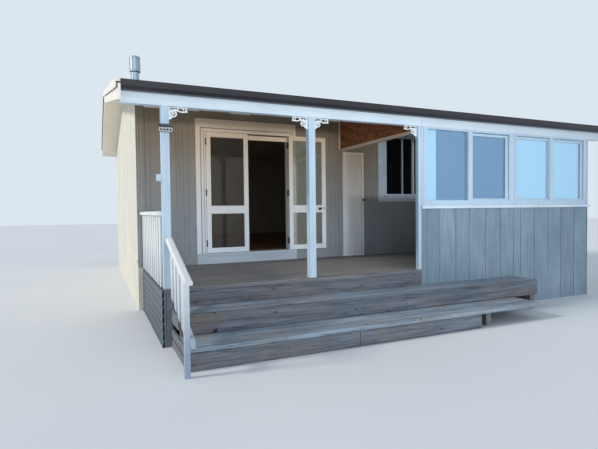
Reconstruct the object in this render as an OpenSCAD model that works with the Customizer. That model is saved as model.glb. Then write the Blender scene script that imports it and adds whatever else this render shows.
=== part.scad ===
// Timber beach house with a carried-forward porch roof and a closed sun porch.
// X runs along the front to the right, Y runs to the back, Z is up from the ground.
// The origin is on the ground, under the middle of the whole outline.
// Inside the modules X starts at the left wall's face and Y at the deck's front edge.

/* [House] */
// Outer width of the house along the front
house_width = 7265; // [6700:5:7900]
// Distance from the deck's front edge to the front wall
porch_depth = 2215; // [1900:5:2600]
// Outer depth of the house body behind the porch
body_depth = 6390; // [5600:10:7000]
// Thickness of the timber walls
wall_thickness = 100; // [90:1:140]
// Height of the porch deck above the ground
deck_height = 660; // [570:3:750]
// Rise from the deck to the house floor
threshold_height = 180; // [120:1:220]
// Thickness of the house floor
floor_thickness = 90; // [60:1:120]
// Gap left where sloping pieces seat on each other
seat = 0.3; // [0.2:0.05:0.5]

/* [Roof] */
// Pitch of both roof slopes in degrees
roof_pitch = 11.9; // [9:0.1:14]
// Height of the porch ceiling above the deck at the front edge
eave_clearance = 2073; // [1990:1:2200]
// Overhang of the roof past each side wall
verge_overhang = 350; // [200:5:500]
// Overhang of the roof past the back wall
rear_overhang = 330; // [200:5:450]
// Thickness of the ceiling lining
lining_thickness = 12; // [9:1:20]
// Depth of the rafters
rafter_depth = 110; // [90:1:150]
// Thickness of each rafter
rafter_width = 45; // [40:1:60]
// Height of the purlins between rafters and roofing
purlin_depth = 40; // [35:1:50]
// Width of each purlin
purlin_width = 60; // [45:1:75]
// Height of the roofing profile
sheet_thickness = 20; // [16:1:28]
// Thickness of the barge boards
barge_thickness = 25; // [18:1:35]
// Height of the white beam's face below the gutter
beam_face = 125; // [110:1:170]
// How far the beam's underside lies below the porch ceiling
beam_drop = 36; // [20:1:60]
// Thickness of the beam on the posts
beam_thickness = 88; // [80:1:100]
// Width of the front gutter from back to lip
gutter_width = 112; // [95:1:130]
// Height of the front gutter
gutter_height = 100; // [85:1:120]
// Thickness of the gutter metal
gutter_thickness = 5; // [4:0.5:8]
// Height of the barge caps above the roofing
cap_rise_height = 34; // [25:1:45]
// Width of the barge caps over the roofing
barge_cap_width = 86; // [70:1:110]
// Width of each wing of the ridge cap
ridge_wing = 170; // [120:5:220]

/* [Posts and rails] */
// Width and depth of each porch post
post_width = 88; // [80:1:110]
// Width of the slimmer right post
right_post_width = 50; // [45:1:70]
// Depth of the slimmer right post
right_post_depth = 60; // [58:1:80]
// Left edge of the porch deck
deck_left = 60; // [40:1:80]
// Thickness of the boards on the deck's left side
skirt_thickness = 30; // [20:1:40]
// Thickness of the board that closes the deck's front left corner
corner_board = 20; // [15:1:30]
// Left face of the first porch post
first_post_x = 89; // [85:1:120]
// Left face of the middle porch post
middle_post_x = 1896; // [1800:2:2000]
// Left face of the sun porch, right of the last post
sunporch_x = 3658; // [3560:2:3760]
// Height of the side rail's top above the deck
side_rail_height = 870; // [800:5:1000]
// Width of the flat boards of both rails
rail_board_width = 120; // [100:5:160]
// Gap between the flat boards of both rails
rail_board_gap = 88; // [60:1:100]
// Thickness of the flat boards of both rails
rail_board_thickness = 20; // [15:1:25]
// Width of the capping planks of both rails
cap_width = 78; // [60:1:100]
// Thickness of the capping planks of both rails
cap_thickness = 48; // [30:1:55]
// Height of the stair rail's top above the deck where it leaves the post
stair_rail_height = 577; // [540:1:640]
// Distance from the first post's left face to the stair rail's left face
stair_rail_inset = 24; // [10:1:34]
// Length of the stair rail in front of the post
stair_rail_length = 1130; // [1110:5:1200]
// Fall of the stair rail per metre of length
stair_rail_fall = 300; // [270:5:420]
// Depth of the stair rail's lower plank below the top of the capping plank
stair_rail_drop = 540; // [460:5:570]
// Distance from the deck's front edge to the stair rail's first board
stair_board_start = 127; // [20:1:150]
// Height of the small switch box's foot on the first post above the deck
switch_box_height = 1205; // [1000:5:1300]
// How far the switch box stands out from the first post
switch_box_width = 54; // [40:1:60]
// Width of the newel at the foot of the stair rail
newel_width = 50; // [46:1:70]

/* [Steps] */
// Depth of the upper step from front to back
upper_going = 447; // [400:1:520]
// Depth of the lower step from front to back
lower_going = 481; // [440:1:520]
// Thickness of the deck boards and treads
board_thickness = 45; // [38:1:55]
// Thickness of the big sleepers on edge
sleeper_thickness = 60; // [50:1:75]
// Left end of both steps
step_start = 186; // [180:1:240]
// Right end of the upper step
upper_step_end = 5467; // [5100:5:5900]
// Right end of the lower step
lower_step_end = 4972; // [4600:5:5400]
// Right end of the sleeper that closes the lower step's front
lower_riser_end = 3858; // [3400:5:4300]

/* [Double doors] */
// Left edge of the double doorway
doorway_x = 1077; // [1030:1:1120]
// Clear width of the double doorway
doorway_width = 1440; // [1360:5:1500]
// Height of each door leaf
leaf_height = 1980; // [1900:5:2010]
// Thickness of each door leaf
leaf_thickness = 40; // [35:1:45]
// Clearance around each door leaf
leaf_gap = 5.5; // [5.2:0.1:8]
// Width of the leaf's side and top members
leaf_stile = 68; // [60:1:90]
// Height of the leaf's bottom member
leaf_bottom_rail = 72; // [60:1:160]
// Height of the middle member of a leaf
leaf_mid_rail = 112; // [80:1:140]
// Height of the middle member's centre above the leaf's foot
leaf_mid_height = 710; // [600:5:800]
// Thickness of the glass panes
glass_thickness = 6; // [4:0.5:8]
// Width of the casing around the double doors
casing_width = 155; // [120:1:160]
// How far the casings stand out of the wall
casing_proud = 20; // [15:1:28]
// Thickness of the door sill
sill_board = 34; // [28:1:42]
// Diameter of the door hinges' pins
hinge_pin = 8; // [6:0.5:9]
// Height of each door hinge
hinge_height = 90; // [75:1:110]
// Diameter of the door knobs
knob_diameter = 44; // [36:1:54]

/* [Cupboard and window] */
// How far the narrow cupboard's frame starts left of the sun porch
cupboard_inset = 32; // [20:1:40]
// Width of the cupboard frame's left member
cupboard_frame_side = 94; // [80:1:110]
// Width of the narrow cupboard's leaf
cupboard_leaf = 350; // [300:2:400]
// Thickness of the narrow cupboard's leaf
cupboard_thickness = 30; // [25:1:36]
// Height of the cupboard's doorway
cupboard_height = 1936; // [1850:2:1940]
// Height of the cupboard's knob above the deck
cupboard_knob_height = 1046; // [900:2:1150]
// Wall between the narrow cupboard and the inner window's casing
inner_window_gap = 330; // [260:2:420]
// Outer width of the inner window's casing
inner_window_width = 1660; // [1500:5:1800]
// Height of the inner window's casing foot above the deck
inner_window_foot = 1013; // [900:1:1050]
// Outer height of the inner window's casing
inner_window_height = 1330; // [1250:5:1400]
// Width of the inner window's casing at the sides
inner_casing_width = 190; // [120:5:200]
// Height of the inner window's casing under the glass
inner_casing_foot_width = 150; // [100:5:170]
// Height of the inner window's casing over the glass
inner_casing_head_width = 90; // [70:5:110]

/* [Sun porch] */
// Thickness of the sun porch walls
porch_wall = 90; // [75:1:100]
// Height of the sun porch sill's top above the deck
sill_height = 908; // [850:1:960]
// Thickness of the sun porch sill
sill_thickness = 40; // [30:1:50]
// How far the sun porch sill stands out
sill_proud = 40; // [25:1:55]
// How far the sill runs past each end of the window band
sill_lap = 8; // [5:1:30]
// Width of the outer frame members of the sun porch windows
frame_side = 122; // [100:1:135]
// Width of the frame members where the two windows meet
frame_meeting = 86; // [70:1:100]
// Width of the centre member of each sun porch window
mullion_width = 98; // [70:1:110]
// Height of the bottom frame member of the sun porch windows
frame_foot = 80; // [60:1:100]
// Height of the top frame member of the sun porch windows
frame_head = 30; // [22:1:50]
// Thickness of the sun porch window frames
frame_thickness = 70; // [55:1:85]
// Height of the brown infill panel's foot above the deck
infill_foot = 1965; // [1960:1:2010]
// Thickness of the brown infill panel
infill_thickness = 30; // [20:1:34]

/* [Scroll brackets] */
// Reach of each scroll bracket along the beam
bracket_reach = 215; // [190:1:250]
// Thickness of each scroll bracket
bracket_thickness = 18; // [15:1:28]

/* [Flue and lamp] */
// Outer diameter of the steel flue pipe
flue_diameter = 150; // [125:5:180]
// Outer diameter of the sleeve around the flue's upper end
sleeve_diameter = 196; // [185:1:220]
// Height of that sleeve
sleeve_height = 285; // [200:5:340]
// Height of the flue's top above the roofing under it
flue_height = 705; // [600:5:900]
// Distance of the flue's axis behind the deck's front edge
flue_y = 4000; // [3800:10:4400]
// Distance of the flue's axis from the left wall line
flue_x = 166; // [120:2:400]
// Width of the porch lamp on the first post
lamp_width = 154; // [130:1:170]
// Height of the porch lamp
lamp_height = 88; // [76:1:100]
// How far the porch lamp stands out from the post
lamp_depth = 64; // [55:1:80]
// Distance from the beam's underside down to the lamp's foot
lamp_drop = 290; // [230:5:330]

/* [Hidden] */
$fn = 32;
slope = tan(roof_pitch);
wall_y = porch_depth;
rear_y = porch_depth + body_depth;
ridge_y = porch_depth + body_depth / 2;
eave_z = deck_height + eave_clearance;
floor_z = deck_height + threshold_height;
riser = deck_height / 3;
roof_left = -verge_overhang;
roof_right = house_width + verge_overhang;
rear_edge = rear_y + rear_overhang;
rafter_lo = lining_thickness + seat;
purlin_lo = rafter_lo + rafter_depth;
sheet_lo = purlin_lo + purlin_depth;
roof_top = sheet_lo + sheet_thickness;
beam_foot = eave_z - beam_drop;
gutter_foot = beam_foot + beam_face;
deck_under = deck_height - board_thickness;
door_top = floor_z + leaf_height;
doorway_right = doorway_x + doorway_width;
frame_outside = 60;
casing_left = doorway_x - casing_width - 12;
casing_right = doorway_right + casing_width;
casing_top = door_top + casing_width + 55;
hinge_reach = 12;
hinge_y = wall_y - casing_proud - hinge_reach;
hinge_heights = [0.08, 0.5, 0.92];
leaf_front = wall_y - casing_proud;
leaf_width = doorway_width / 2 - leaf_gap;
leaf_foot = floor_z;
leaf_rise = leaf_height;
lower_pane = leaf_mid_height - leaf_mid_rail / 2 - leaf_bottom_rail;
upper_pane = leaf_rise - leaf_mid_height - leaf_mid_rail / 2 - leaf_stile;
cupboard_x = sunporch_x - cupboard_inset;
cupboard_right = cupboard_x + cupboard_frame_side + cupboard_leaf + 2 * leaf_gap;
cupboard_hinge_x = cupboard_x + cupboard_frame_side + leaf_gap / 2;
cupboard_hinge_y = wall_y - casing_proud - hinge_reach;
inner_window_x = cupboard_right + inner_window_gap;
inner_right = inner_window_x + inner_window_width;
inner_foot = deck_height + inner_window_foot;
inner_top = inner_foot + inner_window_height;
inner_lap = 20;
inner_hole_width = inner_window_width - 2 * inner_casing_width + 2 * inner_lap;
inner_frame_faces = inner_casing_foot_width + inner_casing_head_width;
inner_hole_height = inner_window_height - inner_frame_faces + 2 * inner_lap;
window_foot = deck_height + sill_height;
unit_width = (house_width - sunporch_x) / 2;
pane_width = (unit_width - frame_side - frame_meeting - mullion_width) / 2;
pane_foot = window_foot + frame_foot;
pane_top = beam_foot - frame_head;
post_right_x = sunporch_x - right_post_width;
infill_x = post_right_x - infill_thickness - 4;
upper_front = -upper_going;
lower_front = -upper_going - lower_going;
rail_front = -stair_rail_length;
roof_end_lap = 20;
rear_lap = 45;
middle_x = house_width / 2;
middle_y = (rail_front + rear_edge + rear_lap) / 2;

paint = [0.70, 0.76, 0.82];
white = [0.90, 0.92, 0.94];
grey_timber = [0.56, 0.53, 0.50];
charcoal = [0.20, 0.20, 0.22];
metal = [0.72, 0.74, 0.75];
brown = [0.30, 0.16, 0.09];
cream = [0.82, 0.76, 0.66];
clear = [0.55, 0.65, 0.70, 0.5];

// Height of the ceiling's underside at a distance behind the deck's front edge.
function under(y) = y <= ridge_y ? eave_z + slope * y : eave_z + slope * (2 * ridge_y - y);

// Height of a wall's top there, just short of the ceiling.
function plate(y) = under(y) - seat;

// Moves a piece from the building's own start corner to the shared origin.
module placed() {
    translate([-middle_x, -middle_y, 0])
        children();
}

// A profile drawn in Y and Z, run along X from x0 to x1.
module along_x(x0, x1) {
    translate([x0, 0, 0])
        rotate([90, 0, 90])
            linear_extrude(height = x1 - x0)
                children();
}

// A profile drawn in X and Z, run along Y from y0 to y1.
module along_y(y0, y1) {
    translate([0, y1, 0])
        rotate([90, 0, 0])
            linear_extrude(height = y1 - y0)
                children();
}

// One layer of a roof slope, between two heights over the ceiling line.
module slope_layer(y0, y1, lo, hi) {
    polygon([[y0, under(y0) + lo], [y1, under(y1) + lo], [y1, under(y1) + hi], [y0, under(y0) + hi]]);
}

// A gable wall from the ground to the ceiling line.
module gable_outline() {
    polygon([[wall_y, 0], [rear_y, 0], [rear_y, plate(rear_y)], [ridge_y, plate(ridge_y)],
             [wall_y, plate(wall_y)]]);
}

// A stretch of the front wall from a height up to the roof slope.
module front_wall_piece(x0, x1, z0) {
    back = wall_y + wall_thickness;
    along_x(x0, x1)
        polygon([[wall_y, z0], [back, z0], [back, plate(back)], [wall_y, plate(wall_y)]]);
}

module left_wall() {
    color(paint)
        placed()
            along_x(0, wall_thickness)
                gable_outline();
}

module right_wall() {
    color(paint)
        placed()
            along_x(house_width - wall_thickness, house_width)
                gable_outline();
}

module back_wall() {
    inside = rear_y - wall_thickness;
    color(paint)
        placed()
            along_x(wall_thickness, house_width - wall_thickness)
                polygon([[inside, 0], [rear_y, 0], [rear_y, plate(rear_y)], [inside, plate(inside)]]);
}

module front_wall_left() {
    color(paint)
        placed()
            front_wall_piece(wall_thickness, doorway_x - leaf_gap - frame_outside, 0);
}

module front_wall_over_doors() {
    color(paint)
        placed()
            front_wall_piece(doorway_x - leaf_gap - frame_outside,
                             doorway_right + leaf_gap + frame_outside, door_top + frame_outside);
}

module front_wall_middle() {
    color(paint)
        placed()
            front_wall_piece(doorway_right + leaf_gap + frame_outside, cupboard_x, 0);
}

module front_wall_over_cupboard() {
    color(paint)
        placed()
            front_wall_piece(cupboard_x, cupboard_right, deck_height + cupboard_height + leaf_gap);
}

module front_wall_right() {
    color(paint)
        placed()
            difference() {
                front_wall_piece(cupboard_right, house_width - wall_thickness, 0);
                translate([inner_window_x + inner_casing_width - inner_lap, wall_y - 1,
                           inner_foot + inner_casing_foot_width - inner_lap])
                    cube([inner_hole_width, wall_thickness + 2, inner_hole_height]);
            }
}

module house_floor() {
    color(grey_timber)
        placed()
            translate([wall_thickness, wall_y + wall_thickness, floor_z - floor_thickness])
                cube([house_width - 2 * wall_thickness, body_depth - 2 * wall_thickness, floor_thickness]);
}

// The deck: one stretch to the front edge, and one inside the sun porch walls.
module porch_deck() {
    color(grey_timber)
        placed()
            union() {
                translate([deck_left + skirt_thickness, 0, deck_under])
                    cube([sunporch_x - deck_left - skirt_thickness, wall_y, board_thickness]);
                translate([sunporch_x, porch_wall, deck_under])
                    cube([house_width - porch_wall - sunporch_x, wall_y - porch_wall, board_thickness]);
            }
}

// Joists on bearers on short piles, under the deck.
module deck_frame() {
    joist_depth = 140;
    bearer_depth = 120;
    edge = porch_wall + 10;
    span_x = house_width - porch_wall - deck_left - 2 * edge;
    span_y = wall_y - 2 * edge;
    joists = 8;
    piles = 4;
    joist_foot = deck_under - joist_depth;
    bearer_foot = joist_foot - seat - bearer_depth;
    color(grey_timber)
        placed()
            union() {
                for (i = [0 : joists - 1])
                    translate([deck_left + edge + i * (span_x - 45) / (joists - 1), edge, joist_foot])
                        cube([45, span_y, joist_depth]);
                for (j = [0 : 1])
                    translate([deck_left + edge, 2 * edge + j * (span_y - 250), bearer_foot])
                        cube([span_x, 90, bearer_depth]);
                for (i = [0 : piles])
                    for (j = [0 : 1])
                        translate([deck_left + edge + i * (span_x - 90) / piles,
                                   2 * edge + j * (span_y - 250), 0])
                            cube([90, 90, bearer_foot - seat]);
            }
}

module deck_front_board() {
    color(grey_timber)
        placed()
            translate([step_start, 6, 2 * riser - board_thickness])
                cube([sunporch_x - step_start, 44, deck_under - 2 * riser + board_thickness]);
}

module left_skirt() {
    color(paint)
        placed()
            union() {
                translate([deck_left, 0, 0])
                    cube([skirt_thickness, wall_y, deck_height]);
                translate([deck_left, 0, 0])
                    cube([step_start - deck_left, corner_board, deck_under]);
            }
}

// A step's walking boards, laid along the step with a gap between them.
module step_boards(x0, x1, y0, y1, top, boards) {
    gap = 6;
    width = (y1 - y0 - (boards - 1) * gap) / boards;
    for (i = [0 : boards - 1])
        translate([x0, y0 + i * (width + gap), top - board_thickness])
            cube([x1 - x0, width, board_thickness]);
}

// Cross bearers that carry a step's walking boards.
module step_bearers(x0, x1, y0, y1, top, count) {
    for (i = [0 : count - 1])
        translate([x0 + i * (x1 - x0 - 80) / (count - 1), y0, 0])
            cube([80, y1 - y0, top - board_thickness - seat]);
}

module upper_step() {
    color(grey_timber)
        placed()
            union() {
                translate([step_start, upper_front, riser])
                    cube([upper_step_end - step_start, sleeper_thickness, riser]);
                step_boards(step_start, upper_step_end, upper_front + sleeper_thickness + 6, 0,
                            2 * riser, 2);
                step_bearers(step_start + 60, upper_step_end, upper_front + sleeper_thickness + seat, -seat,
                             2 * riser, 6);
            }
}

module lower_step() {
    color(grey_timber)
        placed()
            union() {
                translate([step_start, lower_front, 0])
                    cube([lower_riser_end - step_start, sleeper_thickness, riser - board_thickness - seat]);
                step_boards(step_start, lower_step_end, lower_front, upper_front + sleeper_thickness,
                            riser, 2);
                step_bearers(step_start + 60, lower_step_end - 90, lower_front + sleeper_thickness + seat,
                             upper_front + sleeper_thickness - seat, riser, 5);
            }
}

// Boards that close the left end of the steps, with open gaps between them.
module step_side_boards() {
    width = 24;
    color(grey_timber)
        placed()
            union() {
                translate([step_start - width - seat, upper_front, 2 * riser - 150])
                    cube([width, upper_going - seat, 140]);
                for (i = [0 : 1])
                    translate([step_start - width - seat, lower_front, 10 + i * riser / 2])
                        cube([width, upper_going + lower_going - seat, riser / 2 - 22]);
            }
}

module porch_post(x) {
    translate([x, 0, deck_height])
        cube([post_width, post_width, beam_foot - deck_height]);
}

// The first post carries a small switch box on its left side.
module left_post() {
    color(white)
        placed()
            union() {
                porch_post(first_post_x);
                translate([first_post_x - switch_box_width, 8, deck_height + switch_box_height])
                    cube([switch_box_width + 1, 50, 75]);
            }
}

module middle_post() {
    color(white)
        placed()
            porch_post(middle_post_x);
}

module right_post() {
    color(white)
        placed()
            translate([post_right_x, 0, deck_height])
                cube([right_post_width, right_post_depth, beam_foot - deck_height]);
}

module front_beam() {
    color(white)
        placed()
            along_x(roof_left + barge_thickness, roof_right - barge_thickness)
                polygon([[0, beam_foot], [beam_thickness, beam_foot],
                         [beam_thickness, under(beam_thickness) + sheet_lo], [0, under(0) + sheet_lo]]);
}

// Open quad gutter: back wall, floor, raked front and a turned lip.
module gutter_profile() {
    lip = 14;
    rake = 32;
    back_top = gutter_foot + gutter_height - 42;
    polygon([[0, gutter_foot], [0, back_top], [-gutter_thickness, back_top],
             [-gutter_thickness, gutter_foot + gutter_thickness],
             [-gutter_width + rake + 2, gutter_foot + gutter_thickness],
             [-gutter_width + gutter_thickness, gutter_foot + rake + 2],
             [-gutter_width + gutter_thickness, gutter_foot + gutter_height - lip],
             [-gutter_width + lip, gutter_foot + gutter_height - lip],
             [-gutter_width + lip, gutter_foot + gutter_height],
             [-gutter_width, gutter_foot + gutter_height],
             [-gutter_width, gutter_foot + rake], [-gutter_width + rake, gutter_foot]]);
}

module gutter_end() {
    rake = 32;
    polygon([[0, gutter_foot], [0, gutter_foot + gutter_height - 42],
             [-gutter_width, gutter_foot + gutter_height - 42],
             [-gutter_width, gutter_foot + rake], [-gutter_width + rake, gutter_foot]]);
}

module front_gutter() {
    left = roof_left + barge_thickness;
    right = roof_right - barge_thickness;
    color(charcoal)
        placed()
            union() {
                along_x(left, right)
                    gutter_profile();
                along_x(left, left + gutter_thickness)
                    gutter_end();
                along_x(right - gutter_thickness, right)
                    gutter_end();
            }
}

module front_ceiling() {
    color(cream)
        placed()
            along_x(roof_left + barge_thickness, roof_right - barge_thickness)
                slope_layer(beam_thickness, ridge_y, 0, lining_thickness);
}

module rear_ceiling() {
    color(cream)
        placed()
            along_x(roof_left + barge_thickness, roof_right - barge_thickness)
                slope_layer(ridge_y, rear_edge - 20, 0, lining_thickness);
}

// Rafters of one slope, and the purlins on them that carry the roofing.
module rafter_grid(y0, y1, purlins) {
    inner = roof_right - roof_left - 2 * barge_thickness - rafter_width;
    spaces = 9;
    union() {
        for (i = [0 : spaces])
            translate([roof_left + barge_thickness + i * inner / spaces, 0, 0])
                along_x(0, rafter_width)
                    slope_layer(y0, y1, rafter_lo, purlin_lo);
        for (y = purlins)
            along_x(roof_left + barge_thickness, roof_right - barge_thickness)
                slope_layer(y, y + purlin_width, purlin_lo + seat, sheet_lo);
    }
}

module front_rafters() {
    run = ridge_y - beam_thickness - purlin_width;
    color(grey_timber)
        placed()
            rafter_grid(beam_thickness, ridge_y,
                        [for (i = [1 : 4]) beam_thickness + i * run / 4 - 10]);
}

module rear_rafters() {
    run = rear_edge - 20 - ridge_y - purlin_width;
    color(grey_timber)
        placed()
            rafter_grid(ridge_y, rear_edge - 20, [for (i = [0 : 3]) ridge_y + 10 + i * (run - 20) / 3]);
}

module front_roofing() {
    color(metal)
        placed()
            along_x(roof_left - roof_end_lap, roof_right + roof_end_lap)
                slope_layer(-45, ridge_y - 2, sheet_lo + seat, roof_top);
}

module rear_roofing() {
    color(metal)
        placed()
            along_x(roof_left - roof_end_lap, roof_right + roof_end_lap)
                slope_layer(ridge_y + 2, rear_edge + rear_lap, sheet_lo + seat, roof_top);
}

module ridge_cap() {
    cap = roof_top + seat;
    color(metal)
        placed()
            along_x(roof_left - roof_end_lap, roof_right + roof_end_lap)
                polygon([[ridge_y - ridge_wing, under(ridge_y - ridge_wing) + cap],
                         [ridge_y, under(ridge_y) + cap],
                         [ridge_y + ridge_wing, under(ridge_y + ridge_wing) + cap],
                         [ridge_y + ridge_wing, under(ridge_y + ridge_wing) + cap + 5],
                         [ridge_y, under(ridge_y) + cap + 8],
                         [ridge_y - ridge_wing, under(ridge_y - ridge_wing) + cap + 5]]);
}

// Barge boards of both slopes, met by a plumb joint under the ridge.
module barge_boards(x) {
    translate([x, 0, 0])
        union() {
            along_x(0, barge_thickness)
                slope_layer(-gutter_width, ridge_y - seat, -5, sheet_lo);
            along_x(0, barge_thickness)
                slope_layer(ridge_y + seat, rear_edge, -5, sheet_lo);
        }
}

module left_barge_board() {
    color(white)
        placed()
            barge_boards(roof_left);
}

module right_barge_board() {
    color(white)
        placed()
            barge_boards(roof_right - barge_thickness);
}

// One folded barge cap over the roofing's edge, from y0 to y1; its face hangs at its low X side.
module barge_cap(y0, y1) {
    leaf = 6;
    face_drop = 42;
    union() {
        along_x(0, barge_cap_width)
            slope_layer(y0, y1, roof_top + seat, roof_top + cap_rise_height);
        along_x(-leaf, 0)
            slope_layer(y0, y1, sheet_lo - face_drop, roof_top + cap_rise_height);
    }
}

module barge_caps() {
    edge = roof_end_lap + seat;
    stop = ridge_wing + 4;
    color(white)
        placed()
            for (side = [0, 1])
                translate([side * (roof_left + roof_right), 0, 0])
                    mirror([side, 0, 0])
                        translate([roof_left - edge, 0, 0])
                            union() {
                                barge_cap(-gutter_width + 30, ridge_y - stop);
                                barge_cap(ridge_y + stop, rear_edge + rear_lap);
                            }
}

module rear_fascia() {
    color(white)
        placed()
            along_x(roof_left + barge_thickness, roof_right - barge_thickness)
                slope_layer(rear_edge - 20, rear_edge, -5, sheet_lo);
}

module infill_panel() {
    color(brown)
        placed()
            along_x(infill_x, infill_x + infill_thickness)
                polygon([[beam_thickness, deck_height + infill_foot + 20],
                         [wall_y, deck_height + infill_foot + 20],
                         [wall_y, plate(wall_y)], [beam_thickness, plate(beam_thickness)]]);
}

// Trim under the infill panel and down its edge on the wall.
module infill_trim() {
    foot = deck_height + infill_foot;
    color(cream)
        placed()
            union() {
                translate([infill_x - 12, beam_thickness, foot])
                    cube([infill_thickness + 24, wall_y - beam_thickness, 20]);
                translate([infill_x - 22, wall_y - 22, foot + 20])
                    cube([22, 22, plate(wall_y - 22) - foot - 20]);
            }
}

// An arc band of the scrollwork: centre, middle radius, width, start and end angle.
module arc_band(x, z, r, w, a0, a1) {
    half = (a1 - a0) / 2;
    far = 3 * r;
    translate([x, z])
        intersection() {
            difference() {
                circle(r = r + w / 2);
                circle(r = r - w / 2);
            }
            polygon([[0, 0], [far * cos(a0), far * sin(a0)],
                     [far * cos(a0 + half / 2), far * sin(a0 + half / 2)],
                     [far * cos(a0 + half), far * sin(a0 + half)],
                     [far * cos(a1 - half / 2), far * sin(a1 - half / 2)],
                     [far * cos(a1), far * sin(a1)]]);
        }
}

// The scroll bracket, drawn with its corner at the origin, reaching right and down.
module bracket_profile() {
    k = bracket_reach / 215;
    scale(k)
        difference() {
            intersection() {
                translate([0, -160])
                    square([230, 160]);
                union() {
                    polygon([[0, 0], [215, 0], [196, -7], [0, -7]]);
                    polygon([[0, 0], [24, -4], [23, -32], [29, -44], [26, -58], [24, -75],
                             [26, -92], [32, -104], [36, -114], [26, -124], [14, -140], [0, -147]]);
                    arc_band(57, -75, 31, 12, -162, 96);
                    arc_band(57, -63, 19, 10, 88, 272);
                    arc_band(57, -72.5, 9.5, 8, -94, 92);
                    translate([53, -65])
                        circle(r = 6.5);
                    arc_band(2, -98, 38, 14, -78, -4);
                    arc_band(66, -80, 49, 14, 52, 142);
                    arc_band(155, 60, 109, 13, 236, 297);
                    polygon([[99, -6], [119, -6], [111, -16], [110, -38], [98, -36], [100, -20]]);
                    polygon([[158, -6], [178, -6], [171, -18], [167, -46], [162, -18]]);
                    polygon([[188, -42], [207, -55], [215, -42], [203, -34], [207, -5],
                             [191, -5], [194, -20]]);
                }
            }
            translate([14, -22])
                circle(r = 5.5);
            translate([15, -104])
                circle(r = 5.5);
        }
}

module scroll_bracket(x, flip) {
    middle = post_width / 2;
    translate([x, 0, beam_foot])
        mirror([flip, 0, 0])
            along_y(middle - bracket_thickness / 2, middle + bracket_thickness / 2)
                bracket_profile();
}

module left_bracket() {
    color(white)
        placed()
            scroll_bracket(first_post_x + post_width, 0);
}

module middle_bracket_left() {
    color(white)
        placed()
            scroll_bracket(middle_post_x, 1);
}

module middle_bracket_right() {
    color(white)
        placed()
            scroll_bracket(middle_post_x + post_width, 0);
}

module right_bracket() {
    color(white)
        placed()
            scroll_bracket(post_right_x, 1);
}

// The fixed side of a hinge: plates, outer knuckles and the pin, for a leaf to side 1 or -1.
module hinge_fixed(x, y, z, side) {
    third = hinge_height / 3;
    plate_length = 30;
    back = hinge_pin / 2 + 1;
    translate([x, y, z - hinge_height / 2])
        union() {
            cylinder(h = hinge_height, d = hinge_pin);
            for (k = [0, 2])
                translate([0, 0, k * third])
                    union() {
                        cylinder(h = third, d = hinge_pin + 6);
                        translate([side > 0 ? -plate_length : 0, back, 0])
                            cube([plate_length, hinge_reach - back, third]);
                    }
        }
}

// The moving side of a hinge: the middle knuckle and its plate.
module hinge_moving(x, y, z, side) {
    third = hinge_height / 3;
    plate_length = 30;
    back = hinge_pin / 2 + 1;
    translate([x, y, z - third / 2 + 0.4])
        difference() {
            union() {
                cylinder(h = third - 0.8, d = hinge_pin + 6);
                translate([side > 0 ? 0 : -plate_length, back, 0])
                    cube([plate_length, hinge_reach - back + 0.5, third - 0.8]);
            }
            translate([0, 0, -1])
                cylinder(h = third + 2, d = hinge_pin + 0.6);
        }
}

// A turned knob on a short neck, standing out of a face along Y.
module knob(x, y, z, way) {
    translate([x, y, z])
        rotate([way > 0 ? -90 : 90, 0, 0])
            rotate_extrude()
                polygon([[0, -1], [knob_diameter * 0.3, -1], [knob_diameter * 0.3, 4],
                         [knob_diameter * 0.18, 8], [knob_diameter * 0.18, 20],
                         [knob_diameter * 0.42, 27], [knob_diameter / 2, 37],
                         [knob_diameter * 0.4, 47], [0, 50]]);
}

// Jamb, head and casing of the double doors, with the fixed sides of their hinges.
module door_casing() {
    color(white)
        placed()
            union() {
                along_y(wall_y - casing_proud, wall_y)
                    difference() {
                        translate([casing_left, deck_height])
                            square([casing_right - casing_left, casing_top - deck_height]);
                        translate([doorway_x - leaf_gap / 2, deck_height - 1])
                            square([doorway_width + leaf_gap, door_top + leaf_gap - deck_height + 1]);
                    }
                along_y(wall_y, wall_y + wall_thickness)
                    difference() {
                        translate([doorway_x - leaf_gap - frame_outside, floor_z])
                            square([doorway_width + 2 * leaf_gap + 2 * frame_outside,
                                    leaf_height + frame_outside]);
                        translate([doorway_x - leaf_gap / 2, floor_z - 1])
                            square([doorway_width + leaf_gap, leaf_height + leaf_gap + 1]);
                    }
                for (h = hinge_heights) {
                    hinge_fixed(doorway_x, hinge_y, leaf_foot + h * leaf_rise, 1);
                    hinge_fixed(doorway_right, hinge_y, leaf_foot + h * leaf_rise, -1);
                }
            }
}

// Boarding under the doors, with a sill that stands out a little.
module door_plinth() {
    left = doorway_x - leaf_gap / 2;
    width = doorway_width + leaf_gap;
    sill_top = leaf_foot - leaf_gap;
    color(white)
        placed()
            union() {
                translate([left + seat, wall_y - casing_proud, deck_height + seat])
                    cube([width - 2 * seat, wall_thickness + casing_proud,
                          sill_top - deck_height - 2 * seat]);
                translate([left + seat, wall_y - casing_proud - 22, sill_top - sill_board])
                    cube([width - 2 * seat, wall_thickness + casing_proud + 22, sill_board]);
            }
}

// A door leaf in place over the closed doorway, drawn from its left edge.
module leaf_body(x) {
    along_y(leaf_front, leaf_front + leaf_thickness)
        difference() {
            translate([x, leaf_foot])
                square([leaf_width, leaf_rise]);
            translate([x + leaf_stile, leaf_foot + leaf_bottom_rail])
                square([leaf_width - 2 * leaf_stile, lower_pane]);
            translate([x + leaf_stile, leaf_foot + leaf_mid_height + leaf_mid_rail / 2])
                square([leaf_width - 2 * leaf_stile, upper_pane]);
        }
}

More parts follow.
